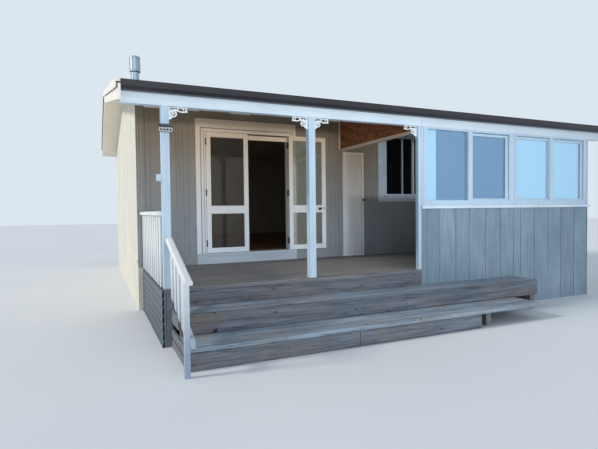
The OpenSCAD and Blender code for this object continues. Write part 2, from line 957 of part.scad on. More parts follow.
module leaf_glass(x) {
    front = leaf_front + leaf_thickness / 2 - glass_thickness / 2;
    union() {
        translate([x + leaf_stile, front, leaf_foot + leaf_bottom_rail])
            cube([leaf_width - 2 * leaf_stile, glass_thickness, lower_pane]);
        translate([x + leaf_stile, front, leaf_foot + leaf_mid_height + leaf_mid_rail / 2])
            cube([leaf_width - 2 * leaf_stile, glass_thickness, upper_pane]);
    }
}

// The right leaf is folded back flat, turned half a turn about its hinge line.
module folded_back() {
    translate([doorway_right, hinge_y, 0])
        rotate([0, 0, 180])
            translate([-doorway_right, -hinge_y, 0])
                children();
}

module left_door() {
    left = doorway_x + leaf_gap / 2;
    color(white)
        placed()
            union() {
                leaf_body(left);
                for (h = hinge_heights)
                    hinge_moving(doorway_x, hinge_y, leaf_foot + h * leaf_rise, 1);
            }
}

module left_door_glass() {
    color(clear)
        placed()
            leaf_glass(doorway_x + leaf_gap / 2);
}

module right_door() {
    left = doorway_right - leaf_gap / 2 - leaf_width;
    color(white)
        placed()
            folded_back()
                union() {
                    leaf_body(left);
                    for (h = hinge_heights)
                        hinge_moving(doorway_right, hinge_y, leaf_foot + h * leaf_rise, -1);
                    knob(left + leaf_stile / 2, leaf_front + leaf_thickness,
                         leaf_foot + leaf_mid_height + 10, 1);
                }
}

module right_door_glass() {
    color(clear)
        placed()
            folded_back()
                leaf_glass(doorway_right - leaf_gap / 2 - leaf_width);
}

// Left jamb of the narrow cupboard, with the fixed sides of its hinges.
module cupboard_frame() {
    color(white)
        placed()
            union() {
                translate([cupboard_x, wall_y - casing_proud, deck_height])
                    cube([cupboard_frame_side, casing_proud + wall_thickness, cupboard_height + leaf_gap]);
                for (h = [0.15, 0.85])
                    hinge_fixed(cupboard_hinge_x, cupboard_hinge_y, deck_height + h * cupboard_height, 1);
            }
}

// The cupboard's leaf with its sunk panel and knob.
module cupboard_door() {
    left = cupboard_hinge_x + leaf_gap / 2;
    foot = deck_height + leaf_gap;
    front = wall_y - casing_proud;
    rise = cupboard_height - leaf_gap;
    border = 42;
    color(white)
        placed()
            union() {
                difference() {
                    translate([left, front, foot])
                        cube([cupboard_leaf, cupboard_thickness, rise]);
                    translate([left + border, front - 1, foot + border])
                        cube([cupboard_leaf - 2 * border, 8, rise - 2 * border]);
                }
                for (h = [0.15, 0.85])
                    hinge_moving(cupboard_hinge_x, cupboard_hinge_y, deck_height + h * cupboard_height, 1);
                knob(left + cupboard_leaf - border / 2, front, deck_height + cupboard_knob_height, -1);
            }
}

// Casing of the inner window with its two upright members.
module inner_window_frame() {
    left = inner_window_x + inner_casing_width;
    right = inner_right - inner_casing_width;
    foot = inner_foot + inner_casing_foot_width;
    top = inner_top - inner_casing_head_width;
    color(white)
        placed()
            union() {
                along_y(wall_y - casing_proud, wall_y)
                    difference() {
                        translate([inner_window_x, inner_foot])
                            square([inner_window_width, inner_window_height]);
                        translate([left, foot])
                            square([right - left, top - foot]);
                    }
                translate([left + 375, wall_y - 12, foot - 1])
                    cube([18, 40, top - foot + 2]);
                translate([(left + right) / 2 - 22, wall_y - 14, foot - 1])
                    cube([44, 40, top - foot + 2]);
            }
}

module inner_window_glass() {
    left = inner_window_x + inner_casing_width - inner_lap;
    foot = inner_foot + inner_casing_foot_width - inner_lap;
    color(clear)
        placed()
            translate([left, wall_y + 28, foot])
                cube([inner_hole_width, glass_thickness, inner_hole_height]);
}

module sunporch_low_wall() {
    color(paint)
        placed()
            translate([sunporch_x, 0, 0])
                cube([house_width - sunporch_x, porch_wall, window_foot - sill_thickness]);
}

module sunporch_sill() {
    color(white)
        placed()
            union() {
                translate([sunporch_x, 0, window_foot - sill_thickness])
                    cube([house_width - sunporch_x, porch_wall, sill_thickness]);
                translate([sunporch_x - sill_lap, -sill_proud, window_foot - sill_thickness])
                    cube([house_width - sunporch_x + 2 * sill_lap, sill_proud, sill_thickness]);
            }
}

// One sun porch window of two side-by-side panes; flip puts the wide side to the right.
module porch_window(x, flip) {
    first = flip ? frame_meeting : frame_side;
    difference() {
        translate([x, window_foot])
            square([unit_width, beam_foot - window_foot]);
        for (i = [0 : 1])
            translate([x + first + i * (pane_width + mullion_width), pane_foot])
                square([pane_width, pane_top - pane_foot]);
    }
}

module sunporch_windows() {
    color(white)
        placed()
            along_y(0, frame_thickness)
                union() {
                    porch_window(sunporch_x, false);
                    porch_window(sunporch_x + unit_width, true);
                }
}

module sunporch_glass() {
    starts = [sunporch_x + frame_side, sunporch_x + unit_width + frame_meeting];
    color(clear)
        placed()
            union() {
                for (x = starts)
                    for (i = [0 : 1])
                        translate([x + i * (pane_width + mullion_width), frame_thickness / 2, pane_foot])
                            cube([pane_width, glass_thickness, pane_top - pane_foot]);
            }
}

module sunporch_side_wall() {
    color(paint)
        placed()
            along_x(house_width - porch_wall, house_width)
                polygon([[porch_wall, 0], [wall_y, 0], [wall_y, plate(wall_y)],
                         [porch_wall, plate(porch_wall)]]);
}

// Section of both capping planks, with rounded upper edges.
module cap_profile() {
    round = 20;
    union() {
        square([cap_width, cap_thickness - round]);
        translate([round, cap_thickness - round - 1])
            square([cap_width - 2 * round, round + 1]);
        for (x = [round, cap_width - round])
            translate([x, cap_thickness - round])
                circle(r = round);
    }
}

// The side rail: flat boards under a capping plank, from the first post to the house.
module side_rail() {
    cap_foot = deck_height + side_rail_height - cap_thickness;
    run = wall_y - post_width;
    pitch = rail_board_width + rail_board_gap;
    count = floor(run / pitch);
    color(white)
        placed()
            union() {
                translate([deck_left - 20, 0, cap_foot])
                    along_y(post_width, wall_y)
                        cap_profile();
                for (i = [0 : count - 1])
                    translate([deck_left + 12, post_width + rail_board_gap / 2 + i * run / count,
                               deck_height])
                        cube([rail_board_thickness, run / count - rail_board_gap,
                              cap_foot - deck_height - seat]);
            }
}

// The stair rail: a capping plank that falls to a newel, over flat boards on a lower rail.
module stair_rail() {
    left = first_post_x + stair_rail_inset;
    fall = stair_rail_fall / 1000;
    tilt = atan(fall);
    top = deck_height + stair_rail_height;
    inner = left + newel_width + seat;
    low_top = top - stair_rail_drop;
    low_height = 75;
    low_width = 40;
    cap_under = top - cap_thickness - seat;
    pitch = rail_board_width + rail_board_gap;
    color(white)
        placed()
            union() {
                translate([left, -seat, top - cap_thickness])
                    rotate([90 + tilt, 0, 0])
                        linear_extrude(height = (stair_rail_length - seat - cap_thickness * sin(tilt))
                                                / cos(tilt))
                            cap_profile();
                translate([left, rail_front + 40, 0])
                    cube([newel_width, newel_width, cap_under + (rail_front + 40) * fall]);
                along_x(inner, inner + low_width)
                    polygon([[-seat, low_top - low_height],
                             [-seat, low_top],
                             [rail_front, low_top + rail_front * fall],
                             [rail_front, low_top + rail_front * fall - low_height]]);
                for (i = [0 : 3]) {
                    near = stair_board_start + i * pitch;
                    far = near + rail_board_width;
                    along_x(inner - rail_board_thickness - seat, inner - seat)
                        polygon([[-near, low_top - low_height - near * fall],
                                 [-near, cap_under - near * fall],
                                 [-far, cap_under - far * fall],
                                 [-far, low_top - low_height - far * fall]]);
                }
            }
}

// The flue: a pipe cut to the roof slope at its foot, a flashing cone and an upper sleeve.
module flue() {
    foot = under(flue_y) + roof_top;
    buried = 60;
    reach = flue_diameter;
    top = foot + flue_height;
    color(metal)
        placed()
            difference() {
                union() {
                    translate([flue_x, flue_y, foot - buried])
                        cylinder(h = flue_height + buried - 10, d = flue_diameter);
                    translate([flue_x, flue_y, top - sleeve_height])
                        cylinder(h = sleeve_height - 12, d = sleeve_diameter);
                    translate([flue_x, flue_y, top - 12])
                        cylinder(h = 12, d1 = sleeve_diameter, d2 = sleeve_diameter - 24);
                    translate([flue_x, flue_y, foot - buried])
                        cylinder(h = buried + 70, d1 = flue_diameter + 90, d2 = flue_diameter + 8);
                }
                along_x(flue_x - reach, flue_x + reach)
                    polygon([[flue_y - reach, foot - 200], [flue_y + reach, foot - 200],
                             [flue_y + reach, under(flue_y + reach) + roof_top + seat],
                             [flue_y - reach, under(flue_y - reach) + roof_top + seat]]);
            }
}

// The small lamp on the first post: a tilted panel over a shallow body.
module porch_lamp() {
    foot = beam_foot - lamp_drop;
    left = first_post_x + post_width / 2 - lamp_width / 2;
    lip = 12;
    front = -lamp_depth;
    color(charcoal)
        placed()
            along_x(left, left + lamp_width)
                polygon([[0, foot], [0, foot + lamp_height], [-lip, foot + lamp_height],
                         [front, foot + lamp_height / 2 + lip], [front, foot + lamp_height / 2],
                         [front / 2, foot]]);
}

left_wall();
right_wall();
back_wall();
front_wall_left();
front_wall_over_doors();
front_wall_middle();
front_wall_over_cupboard();
front_wall_right();
house_floor();
porch_deck();
deck_frame();
deck_front_board();
left_skirt();
upper_step();
lower_step();
step_side_boards();
left_post();
middle_post();
right_post();
front_beam();
front_gutter();
front_ceiling();
rear_ceiling();
front_rafters();
rear_rafters();
front_roofing();
rear_roofing();
ridge_cap();
left_barge_board();
right_barge_board();
barge_caps();
rear_fascia();
infill_panel();
infill_trim();
left_bracket();
middle_bracket_left();
middle_bracket_right();
right_bracket();
door_casing();
door_plinth();
left_door();
left_door_glass();
right_door();
right_door_glass();
cupboard_frame();
cupboard_door();
inner_window_frame();
inner_window_glass();
sunporch_low_wall();
sunporch_sill();
sunporch_windows();
sunporch_glass();
sunporch_side_wall();
side_rail();
stair_rail();
flue();
porch_lamp();
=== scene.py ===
"""Looks of a timber beach house: boarded walls, corrugated roof, glazed doors, worn steps."""

import math
import random

import bmesh
import bpy
from mathutils import Matrix, Vector


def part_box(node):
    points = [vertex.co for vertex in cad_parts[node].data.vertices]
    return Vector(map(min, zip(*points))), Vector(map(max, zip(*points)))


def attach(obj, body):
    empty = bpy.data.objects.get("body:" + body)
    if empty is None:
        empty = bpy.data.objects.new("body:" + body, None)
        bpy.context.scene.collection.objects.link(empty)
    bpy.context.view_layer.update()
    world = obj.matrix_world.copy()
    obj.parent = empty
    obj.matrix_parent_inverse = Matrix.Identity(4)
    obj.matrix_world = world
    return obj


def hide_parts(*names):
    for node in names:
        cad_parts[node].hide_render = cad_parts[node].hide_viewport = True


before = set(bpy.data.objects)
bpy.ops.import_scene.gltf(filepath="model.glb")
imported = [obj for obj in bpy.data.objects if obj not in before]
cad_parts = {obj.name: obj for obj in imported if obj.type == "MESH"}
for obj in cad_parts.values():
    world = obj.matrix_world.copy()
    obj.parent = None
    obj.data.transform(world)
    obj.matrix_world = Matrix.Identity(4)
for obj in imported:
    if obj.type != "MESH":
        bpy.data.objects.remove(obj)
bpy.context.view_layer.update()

# Places, in millimetres from the left wall's face, the deck's front edge and the deck's top.

ORIGIN = Vector(
    (
        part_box("left_wall")[0].x,
        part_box("porch_deck")[0].y,
        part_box("porch_deck")[1].z,
    )
)
# The house: its width, the faces of the front and back walls, the ridge, the deck's height over
# the ground, and the ceiling's underside over the deck's front edge, with its slope.
WIDTH = 7265
WALL_Y = 2215
REAR_Y = 8605
RIDGE_Y = 5410
DECK = 660
EAVE = 2073
SLOPE = math.tan(math.radians(11.9))
# The roof: the roofing's underside and top over the ceiling, the roof's sides, and the
# undersides of the front beam and the gutter.
SHEET_FOOT = 162.3
SHEET_TOP = 182
ROOF_LEFT = -350
ROOF_RIGHT = 7615
BEAM_FOOT = 2037
GUTTER_FOOT = 2162
# The flue: its middle, its height over the roofing, and how much of that is its wide sleeve.
FLUE_X = 166
FLUE_Y = 4000
FLUE_HEIGHT = 705
SLEEVE_HEIGHT = 285
# The steps: their faces and left end, the rise from one to the next, and what their boards,
# the deck's too, and their sleepers measure through.
LOWER_STEP_Y = -928
UPPER_STEP_Y = -447
STEPS_LEFT = 186
RISER = 220
BOARD_THICKNESS = 45
SLEEPER_THICKNESS = 60
# How much of each weatherboard of the skirt shows.
WEATHERBOARD = 95
# The double doors: their casing, leaves and hinges.
CASING_LEFT = 910
CASING_RIGHT = 2672
CASING_TOP = 2370
LEAF_FOOT = 180
LEAF_HEIGHT = 1980
LEAF_FRONT = 2195
LEAF_BACK = 2235
HINGE_Y = 2183
LEFT_HINGE_X = 1077
RIGHT_HINGE_X = 2517
# A knob's profile, from its neck out: radius and distance from the face.
KNOB = [(15, 0), (14.5, 5), (9, 9), (9, 20), (19.5, 26.5), (23, 37), (18.6, 48), (6, 51)]
# The inner window's opening: left, foot, right and top.
INNER_WINDOW = (4581, 1143, 5901, 2273)
# The sun porch: its left face, the sill's top and thickness, and the four panes.
PORCH_X = 3658
SILL = 908
SILL_THICKNESS = 40
PANES = (3780, 4626.75, 5547.5, 6394.25)
PANE_WIDTH = 748.75
PANE_FOOT = 988
PANE_TOP = 2007
# The photograph: its width and the camera's focal length, both in pixels.
PHOTO_WIDTH = 598
FOCAL_LENGTH = 459.7


def place(x, y, z):
    """A point given in millimetres of the house, in metres of the frame."""
    return ORIGIN + Vector((x, y, z)) / 1000


def ceiling(y):
    """Height of the ceiling's underside over the deck."""
    return EAVE + SLOPE * (y if y <= RIDGE_Y else 2 * RIDGE_Y - y)


# Materials.


def linear(code):
    """An sRGB hex colour as linear values."""
    parts = [int(code[i : i + 2], 16) / 255 for i in (1, 3, 5)]
    return [c / 12.92 if c <= 0.04045 else ((c + 0.055) / 1.055) ** 2.4 for c in parts] + [1.0]


def add(tree, kind, inputs=(), stops=(), **settings):
    """Adds a node with its settings and links. An input is a number, a hex colour, a socket or
    a node, whose first output it takes, or the colour output of a mix."""
    node = tree.nodes.new(kind)
    for key, value in settings.items():
        setattr(node, key, value)
    for key, value in dict(inputs).items():
        if isinstance(value, bpy.types.Node):
            value = value.outputs[2 if value.bl_idname == "ShaderNodeMix" else 0]
        if isinstance(value, bpy.types.NodeSocket):
            tree.links.new(value, node.inputs[key])
        else:
            node.inputs[key].default_value = linear(value) if isinstance(value, str) else value
    if stops:
        band = node.color_ramp.elements
        band.remove(band[-1])
        for i, (position, colour) in enumerate(stops):
            element = band[0] if i == 0 else band.new(position)
            element.position = position
            element.color = linear(colour) if isinstance(colour, str) else (colour,) * 3 + (1,)
    return node


def start(name):
    """A new material, its empty tree, and the place of a point in metres."""
    made = bpy.data.materials.new(name)
    made.use_nodes = True
    tree = made.node_tree
    tree.nodes.clear()
    return made, tree, add(tree, "ShaderNodeTexCoord").outputs["Object"]


def painted_timber(
    name,
    base,
    shade,
    wear,
    along="z",
    painted_shade_aloft=None,
    stain=0.35,
    rough=0.5,
    relief=0.15,
    width=22,
    lap=None,
    painted_shade_low=None,
):
    """Oil paint brushed on boards: brush marks and rain streaks run along the board, chalking
    clouds the tone over 600 mm or so, each board is a little lighter or darker than the next,
    and grime sits in it as specks 7 mm wide. Real brush marks are finer: here they are drawn
    width millimetres apart, so that they show. A warm tint given for the top draws it darker
    and warmer, as painted shade under a roof. Lapped boards, lap metres apart, get a dark band
    under each lap, grime and painted shade, and a pale band along each lower edge as a painted
    highlight. A tint given for the foot draws the lowest metre duller, as painted shade."""
    made, tree, where = start(name)
    brush = [1000 / width] * 3
    brush["xyz".index(along)] = 1.6
    streak, cloud, speck = (
        add(
            tree,
            "ShaderNodeTexNoise",
            {
                "Vector": add(tree, "ShaderNodeMapping", {"Vector": where, "Scale": scale}),
                "Scale": 1.0,
                "Detail": 4.0,
                "Roughness": 0.6,
            },
        )
        for scale in (brush, (1.7, 1.7, 1.1), (140, 140, 60))
    )
    clouds = add(tree, "ShaderNodeValToRGB", {0: cloud}, [(0.35, 0.0), (0.7, 1.0)])
    streaks = add(tree, "ShaderNodeValToRGB", {0: streak}, [(0.42, 0.0), (0.72, stain)])
    specks = add(tree, "ShaderNodeValToRGB", {0: speck}, [(0.70, 0.0), (0.78, 0.35)])
    board = add(tree, "ShaderNodeNewGeometry").outputs["Random Per Island"]
    boards = add(tree, "ShaderNodeValToRGB", {0: board}, [(0.3, 0.0), (0.9, stain)])
    layers = [(clouds, shade), (boards, shade), (streaks, wear), (specks, wear)]
    height = add(tree, "ShaderNodeSeparateXYZ", {0: where}).outputs["Z"]
    if lap:
        fall = add(tree, "ShaderNodeMath", {0: height, 1: ORIGIN.z}, operation="SUBTRACT")
        rows = add(tree, "ShaderNodeMath", {0: fall, 1: lap}, operation="DIVIDE")
        row = add(tree, "ShaderNodeMath", {0: rows}, operation="FRACT")
        # A pale band along each board's lower edge is a painted highlight; the dark band under each
        # lap is grime and painted shade.
        edge = add(tree, "ShaderNodeValToRGB", {0: row}, [(0.0, 0.55), (0.16, 0.0)])
        lap_dirt_and_shade = add(tree, "ShaderNodeValToRGB", {0: row}, [(0.5, 0.0), (0.64, 0.85), (1.0, 1.0)])
        layers += [(edge, "#B4BDC2"), (lap_dirt_and_shade, "#2B3136")]
    tone = base
    for share, tint in layers:
        tone = add(tree, "ShaderNodeMix", {0: share, 6: tone, 7: tint}, data_type="RGBA")
    # Tints by height: the top drawn darker and warmer and the foot duller, both painted shade.
    for tint, none, full in (
        (painted_shade_aloft, ORIGIN.z + 0.5, ORIGIN.z + 2.1),
        (painted_shade_low, ORIGIN.z + 0.45, ORIGIN.z - 0.45),
    ):
        if tint:
            rise = add(
                tree,
                "ShaderNodeMapRange",
                {"Value": height, "From Min": none, "From Max": full},
            )
            tone = add(
                tree,
                "ShaderNodeMix",
                {0: rise, 6: tone, 7: tint},
                data_type="RGBA",
                blend_type="MULTIPLY",
            )
    grain = add(tree, "ShaderNodeMix", {0: 0.35, 6: streak, 7: speck}, data_type="RGBA")
    bump = add(tree, "ShaderNodeBump", {"Strength": relief, "Distance": 0.004, "Height": grain})
    shader = add(
        tree,
        "ShaderNodeBsdfPrincipled",
        {"Base Color": tone, "Roughness": rough, "IOR": 1.48, "Normal": bump},
    )
    add(tree, "ShaderNodeOutputMaterial", {"Surface": shader})
    return made


def weathered_timber(name, pale, mid, dark, warm, crack, along="x", knotty=0.8, rough=0.85):
    """Bare sawn timber, silvered by sun and rain: grey bands about 60 mm wide run along it, with
    fibres drawn 16 mm apart so that they show, dark knots, drying cracks and warmer patches
    where it is less bleached."""
    made, tree, where = start(name)
    axis = "xyz".index(along)
    patterns = []
    for across, lengthwise, shift, detail in (
        (62, 2.6, 0, 3.0),
        (16, 0.8, 3, 4.0),
        (38, 0.6, 7, 3.0),
        (4, 1.3, 11, 5.0),
    ):
        scale = [across] * 3
        scale[axis] = lengthwise
        spot = {"Vector": where, "Scale": scale, "Location": (shift, shift, shift)}
        patterns.append(
            add(
                tree,
                "ShaderNodeTexNoise",
                {
                    "Vector": add(tree, "ShaderNodeMapping", spot),
                    "Scale": 1.0,
                    "Detail": detail,
                    "Roughness": 0.62,
                    "Distortion": 0.25,
                },
            )
        )
    fibre, band, split, patch = patterns
    scale = [8.0] * 3
    scale[axis] = 3.0
    spot = {"Vector": where, "Scale": scale}
    knot = add(
        tree,
        "ShaderNodeTexVoronoi",
        {"Vector": add(tree, "ShaderNodeMapping", spot), "Scale": 1.0, "Randomness": 1.0},
    )
    tone = add(tree, "ShaderNodeValToRGB", {0: band}, [(0.3, dark), (0.5, mid), (0.68, pale)])
    fibres = add(tree, "ShaderNodeValToRGB", {0: fibre}, [(0.32, dark), (0.66, pale)])
    patches = add(tree, "ShaderNodeValToRGB", {0: patch}, [(0.45, 0.0), (0.68, 0.7)])
    board = add(tree, "ShaderNodeNewGeometry").outputs["Random Per Island"]
    boards = add(tree, "ShaderNodeValToRGB", {0: board}, [(0.2, 0.0), (1.0, 0.35)])
    knots = add(tree, "ShaderNodeValToRGB", {0: knot}, [(0.04, knotty), (0.11, 0.0)])
    cracks = [(0.484, 0.0), (0.5, crack), (0.516, 0.0)]
    line = add(tree, "ShaderNodeValToRGB", {0: split}, cracks)
    for share, tint in (
        (0.3, fibres),
        (patches, warm),
        (boards, mid),
        (knots, "#2E2A27"),
        (line, "#1E1C1B"),
    ):
        tone = add(tree, "ShaderNodeMix", {0: share, 6: tone, 7: tint}, data_type="RGBA")
    sunk = add(tree, "ShaderNodeMix", {0: line, 6: band, 7: "#000000"}, data_type="RGBA")
    bump = add(tree, "ShaderNodeBump", {"Strength": 0.5, "Distance": 0.006, "Height": sunk})
    shader = add(
        tree,
        "ShaderNodeBsdfPrincipled",
        {"Base Color": tone, "Roughness": rough, "IOR": 1.5, "Normal": bump},
    )
    add(tree, "ShaderNodeOutputMaterial", {"Surface": shader})
    return made


def sheet_metal(name, base, shade, rough, metallic=0.0, dust=0.3, along="y"):
    """Rolled sheet, coated or bare, or moulded plastic: even and a little glossy, with faint
    dust in clouds about 300 mm wide and runs 22 mm apart."""
    made, tree, where = start(name)
    scale = [45.0] * 3
    scale["xyz".index(along)] = 1.5
    dusty, runs = (
        add(
            tree,
            "ShaderNodeTexNoise",
            {
                "Vector": add(tree, "ShaderNodeMapping", {"Vector": where, "Scale": s}),
                "Scale": 1.0,
                "Detail": 4.0,
            },
        )
        for s in ((3, 3, 3), scale)
    )
    tone = base
    for pattern, none, full in ((dusty, 0.4, 0.7), (runs, 0.45, 0.8)):
        share = add(tree, "ShaderNodeValToRGB", {0: pattern}, [(none, 0.0), (full, dust)])
        tone = add(tree, "ShaderNodeMix", {0: share, 6: tone, 7: shade}, data_type="RGBA")
    bump = add(tree, "ShaderNodeBump", {"Strength": 0.06, "Distance": 0.002, "Height": runs})
    shader = add(
        tree,
        "ShaderNodeBsdfPrincipled",
        {"Base Color": tone, "Metallic": metallic, "Roughness": rough, "Normal": bump},
    )
    add(tree, "ShaderNodeOutputMaterial", {"Surface": shader})
    return made


def window_glass(name, tint, share, mirror=0.5):
    """Float glass: clear and grey-green through, with a painted reflection: a tint, partly mirror
    and partly lit like paint, that stands in for what a pane shows outdoors. The share is how
    much of the pane reads as painted reflection and how much as clear glass."""
    made, tree, where = start(name)
    ripple = add(tree, "ShaderNodeTexNoise", {"Vector": where, "Scale": 2.0, "Detail": 2.0})
    bump = add(tree, "ShaderNodeBump", {"Strength": 0.03, "Distance": 0.01, "Height": ripple})
    painted_reflection = add(
        tree,
        "ShaderNodeBsdfPrincipled",
        {"Base Color": tint, "Metallic": mirror, "Roughness": 0.03, "Normal": bump},
    )
    clear = add(tree, "ShaderNodeBsdfTransparent", {"Color": "#EEF5F6"})
    mixed = add(tree, "ShaderNodeMixShader", {0: share, 1: clear, 2: painted_reflection})
    add(tree, "ShaderNodeOutputMaterial", {"Surface": mixed})
    return made


def woven_panel():
    """Woven matting on a panel, stained red-brown: short strands drawn coarser than the real
    ones, 28 mm high and 90 mm long, so that they show. Rows are set off by half, with dark
    gaps between strands and a cloudy, uneven stain."""
    made, tree, where = start("stained_woven_matting")
    parts = add(tree, "ShaderNodeSeparateXYZ", {0: where})
    flat = add(tree, "ShaderNodeCombineXYZ", {0: parts.outputs["Y"], 1: parts.outputs["Z"]})
    weave = add(
        tree,
        "ShaderNodeTexBrick",
        {
            "Vector": flat,
            "Color1": "#B8703C",
            "Color2": "#6E3C1E",
            "Mortar": "#351A0B",
            "Scale": 1.0,
            "Mortar Size": 0.004,
            "Mortar Smooth": 0.6,
            "Brick Width": 0.09,
            "Row Height": 0.028,
        },
    )
    cloud = add(tree, "ShaderNodeTexNoise", {"Vector": where, "Scale": 5.0, "Detail": 5.0})
    stain = add(tree, "ShaderNodeValToRGB", {0: cloud}, [(0.38, 0.0), (0.62, 0.4)])
    tone = add(tree, "ShaderNodeMix", {0: stain, 6: weave, 7: "#8A512D"}, data_type="RGBA")
    bump = add(tree, "ShaderNodeBump", {"Strength": 0.6, "Distance": 0.004, "Height": weave})
    shader = add(
        tree,
        "ShaderNodeBsdfPrincipled",
        {"Base Color": tone, "Roughness": 0.6, "IOR": 1.5, "Normal": bump},
    )
    add(tree, "ShaderNodeOutputMaterial", {"Surface": shader})
    return made


def solar_cells():
    """A small solar panel under glass: near-black cells 20 mm across with thin grey grid lines."""
    made, tree, where = start("solar_cells")
    grid = add(
        tree,
        "ShaderNodeTexBrick",
        {
            "Vector": where,
            "Color1": "#15181F",
            "Color2": "#1B1F2A",
            "Mortar": "#5A6070",
            "Scale": 50.0,
            "Mortar Size": 0.03,
            "Brick Width": 1.0,
            "Row Height": 1.0,
        },
        offset=0.0,
    )
    shader = add(
        tree, "ShaderNodeBsdfPrincipled", {"Base Color": grid, "Roughness": 0.15, "IOR": 1.5}
    )
    add(tree, "ShaderNodeOutputMaterial", {"Surface": shader})
    return made


# Brushed chalky paint, drawn as in full sun: the house's paint made a dry cream as painted
# sunlight, with paler and duller streaks down the boards.
SUNNY_WALL = painted_timber(
    "sunlit_chalky_cream_wall_paint", "#E0DCCE", "#CFC9BA", "#A8A294", stain=0.35
)
# The same house paint, brushed satin and kept from the weather by the roof, drawn an even warm
# grey as painted shade, and darker and warmer high up as painted shade.
PORCH_WALL = painted_timber(
    "shaded_warm_grey_wall_paint", "#93989E", "#888E94", "#74797F", painted_shade_aloft="#EFCFA8", stain=0.1, relief=0.06
)
# The same house paint brushed on rough-sawn boards in the rain, drawn blue-grey as painted sky
# shade: streaky, no two boards alike.
SUNPORCH_WALL = painted_timber(
    "sky_shaded_blue_grey_wall_paint", "#8D9FAE", "#748896", "#627584", relief=0.3, stain=0.65, width=30
)
# Brushed paint on lapped boards: mid grey, with a dark line under each lap of grime and painted
# shade, a pale line along each lower edge as a painted highlight, duller near its foot as painted
# shade.
SKIRT_BOARD = painted_timber(
    "grey_weatherboard_paint",
    "#66707A",
    "#59636C",
    "#40474E",
    "y",
    stain=0.2,
    lap=WEATHERBOARD / 1000,
    painted_shade_low="#B6BCC2",
)
# The same paint on planed boards, which take it more smoothly and look paler.
CORNER_BOARD = painted_timber("grey_corner_board_paint", "#7B848B", "#6B747B", "#4E555B")
# Brushed white enamel on planed timber: smooth and half glossy, drawn pale blue as painted sky
# shade.
TRIM = painted_timber("sky_shaded_white_post_paint", "#BFD3E1", "#B1C5D4", "#97A8B5", rough=0.38, relief=0.1)
# The same enamel on the long boards at the eaves, drawn brighter and with less painted blue shade.
BEAM_TRIM = painted_timber(
    "sky_shaded_white_beam_paint", "#D6E3EC", "#C9D7E1", "#AAB4BB", "x", rough=0.38, relief=0.1
)
# White enamel on fretsawn boards, the brightest white, so that the scrolls stand out.
FRETWORK = painted_timber("white_fretwork_paint", "#F0F4F7", "#E2E8EE", "#B8BEC4", rough=0.4)
# White enamel on joinery: clean and half glossy, drawn darker and creamier high up under the
# roof as painted shade.
DOOR_PAINT = painted_timber(
    "white_door_paint",
    "#E8EEF4",
    "#DCE3EA",
    "#B4B9BE",
    painted_shade_aloft="#F6D6B4",
    rough=0.36,
    relief=0.08,
    stain=0.2,
)
# The same enamel gone dull on the cupboard's flat panel, drawn darker as painted shade of its
# recess, and darker and warmer high up as painted shade.
PANEL_PAINT = painted_timber(
    "dull_and_shaded_panel_paint", "#DDE2E4", "#CED3D5", "#A09E98", painted_shade_aloft="#F0CFA8", relief=0.06
)
# White enamel scuffed by feet and hands, with marks along the boards, and drawn greyer and bluer
# as painted shade low by the floor and round the inner window.
PLINTH_PAINT = painted_timber("scuffed_and_shaded_white_paint", "#C3CFDA", "#B0BCC8", "#8A949D", "x")
# Paint drawn dark in the grooves, as grime and painted shade: a thin brown line round each
# moulding.
GROOVE_DIRT_AND_SHADE = painted_timber("grimy_and_shaded_groove_paint", "#A1988C", "#8D8479", "#67605A")
# Cream paint on ceiling boards: a soft warm white.
LINING = painted_timber("cream_lining_paint", "#F3EAD8", "#E6DCC9", "#B8AE9D", "x")
# Cream paint inside the rooms, seen dimly through the doors.
ROOM_LINING = painted_timber("cream_room_paint", "#D9CCB9", "#CCBFAC", "#A89C8B")
# The cream lining drawn brown and dark as painted shade, on every other board at the wall's top.
SHADED_LINING = painted_timber("shaded_lining_paint", "#A8937E", "#96836F", "#6D6054", "x")
# Brushed white enamel in full sun: a warm white with faint streaks along the slope.
BARGE = painted_timber("white_barge_paint", "#F4EEE2", "#E9E2D5", "#C0B8A8", "y", rough=0.42)
# Worn white paint: chalky in the sun, and drawn blue-grey near the ground as painted shade.
RAIL = painted_timber(
    "worn_white_rail_paint",
    "#E6E7E4",
    "#D6D9DA",
    "#A9AAA7",
    relief=0.2,
    stain=0.2,
    painted_shade_low="#A3B4C8",
)
# Pale brown paint, the boards' edges round the woven panel.
INFILL_PAINT = painted_timber("pale_infill_paint", "#E2CBB6", "#D2BAA5", "#A08A76", "y")
# Sawn pine left bare: silver-grey bands, dark knots and open cracks.
SLEEPER = weathered_timber(
    "weathered_pine_sleeper", "#878D96", "#656B76", "#393E46", "#7F766D", 0.9
)
# Sawn pine walked on and rained on: paler and cleaner than the sleepers' faces.
TREAD = weathered_timber(
    "weathered_pine_tread", "#A9B6C4", "#8593A2", "#4C5763", "#948C85", 0.8
)
# An older sleeper, browner and darker than the one it is let into.
OLD_SLEEPER = weathered_timber(
    "old_pine_sleeper", "#88868A", "#666368", "#3A3739", "#7F746E", 0.9
)
# Planed pine under the roof: warm grey, with few knots and fine cracks.
DECKING = weathered_timber(
    "weathered_decking", "#918F8D", "#74757A", "#53565C", "#8C857C", 0.5, knotty=0.5
)
# Rough-sawn pine out of the sun: plain grey-brown, hardly cracked.
FRAMING = weathered_timber(
    "sawn_framing_timber", "#85858A", "#6B6D73", "#4E5158", "#7D776E", 0.3
)
# Varnished pine: warm brown boards with a low shine.
FLOORING = weathered_timber(
    "varnished_floor_boards", "#9A7350", "#7B5A3D", "#553E2A", "#8A6545", 0.2, "y", rough=0.45
)
# Stained matting: a rough red-brown weave that stands out from the paint round it.
WOVEN_PANEL = woven_panel()
# Steel with a baked coating, rolled: smooth charcoal with a soft line of light.
GUTTER = sheet_metal("charcoal_coated_steel", "#232226", "#36343A", 0.38, along="x")
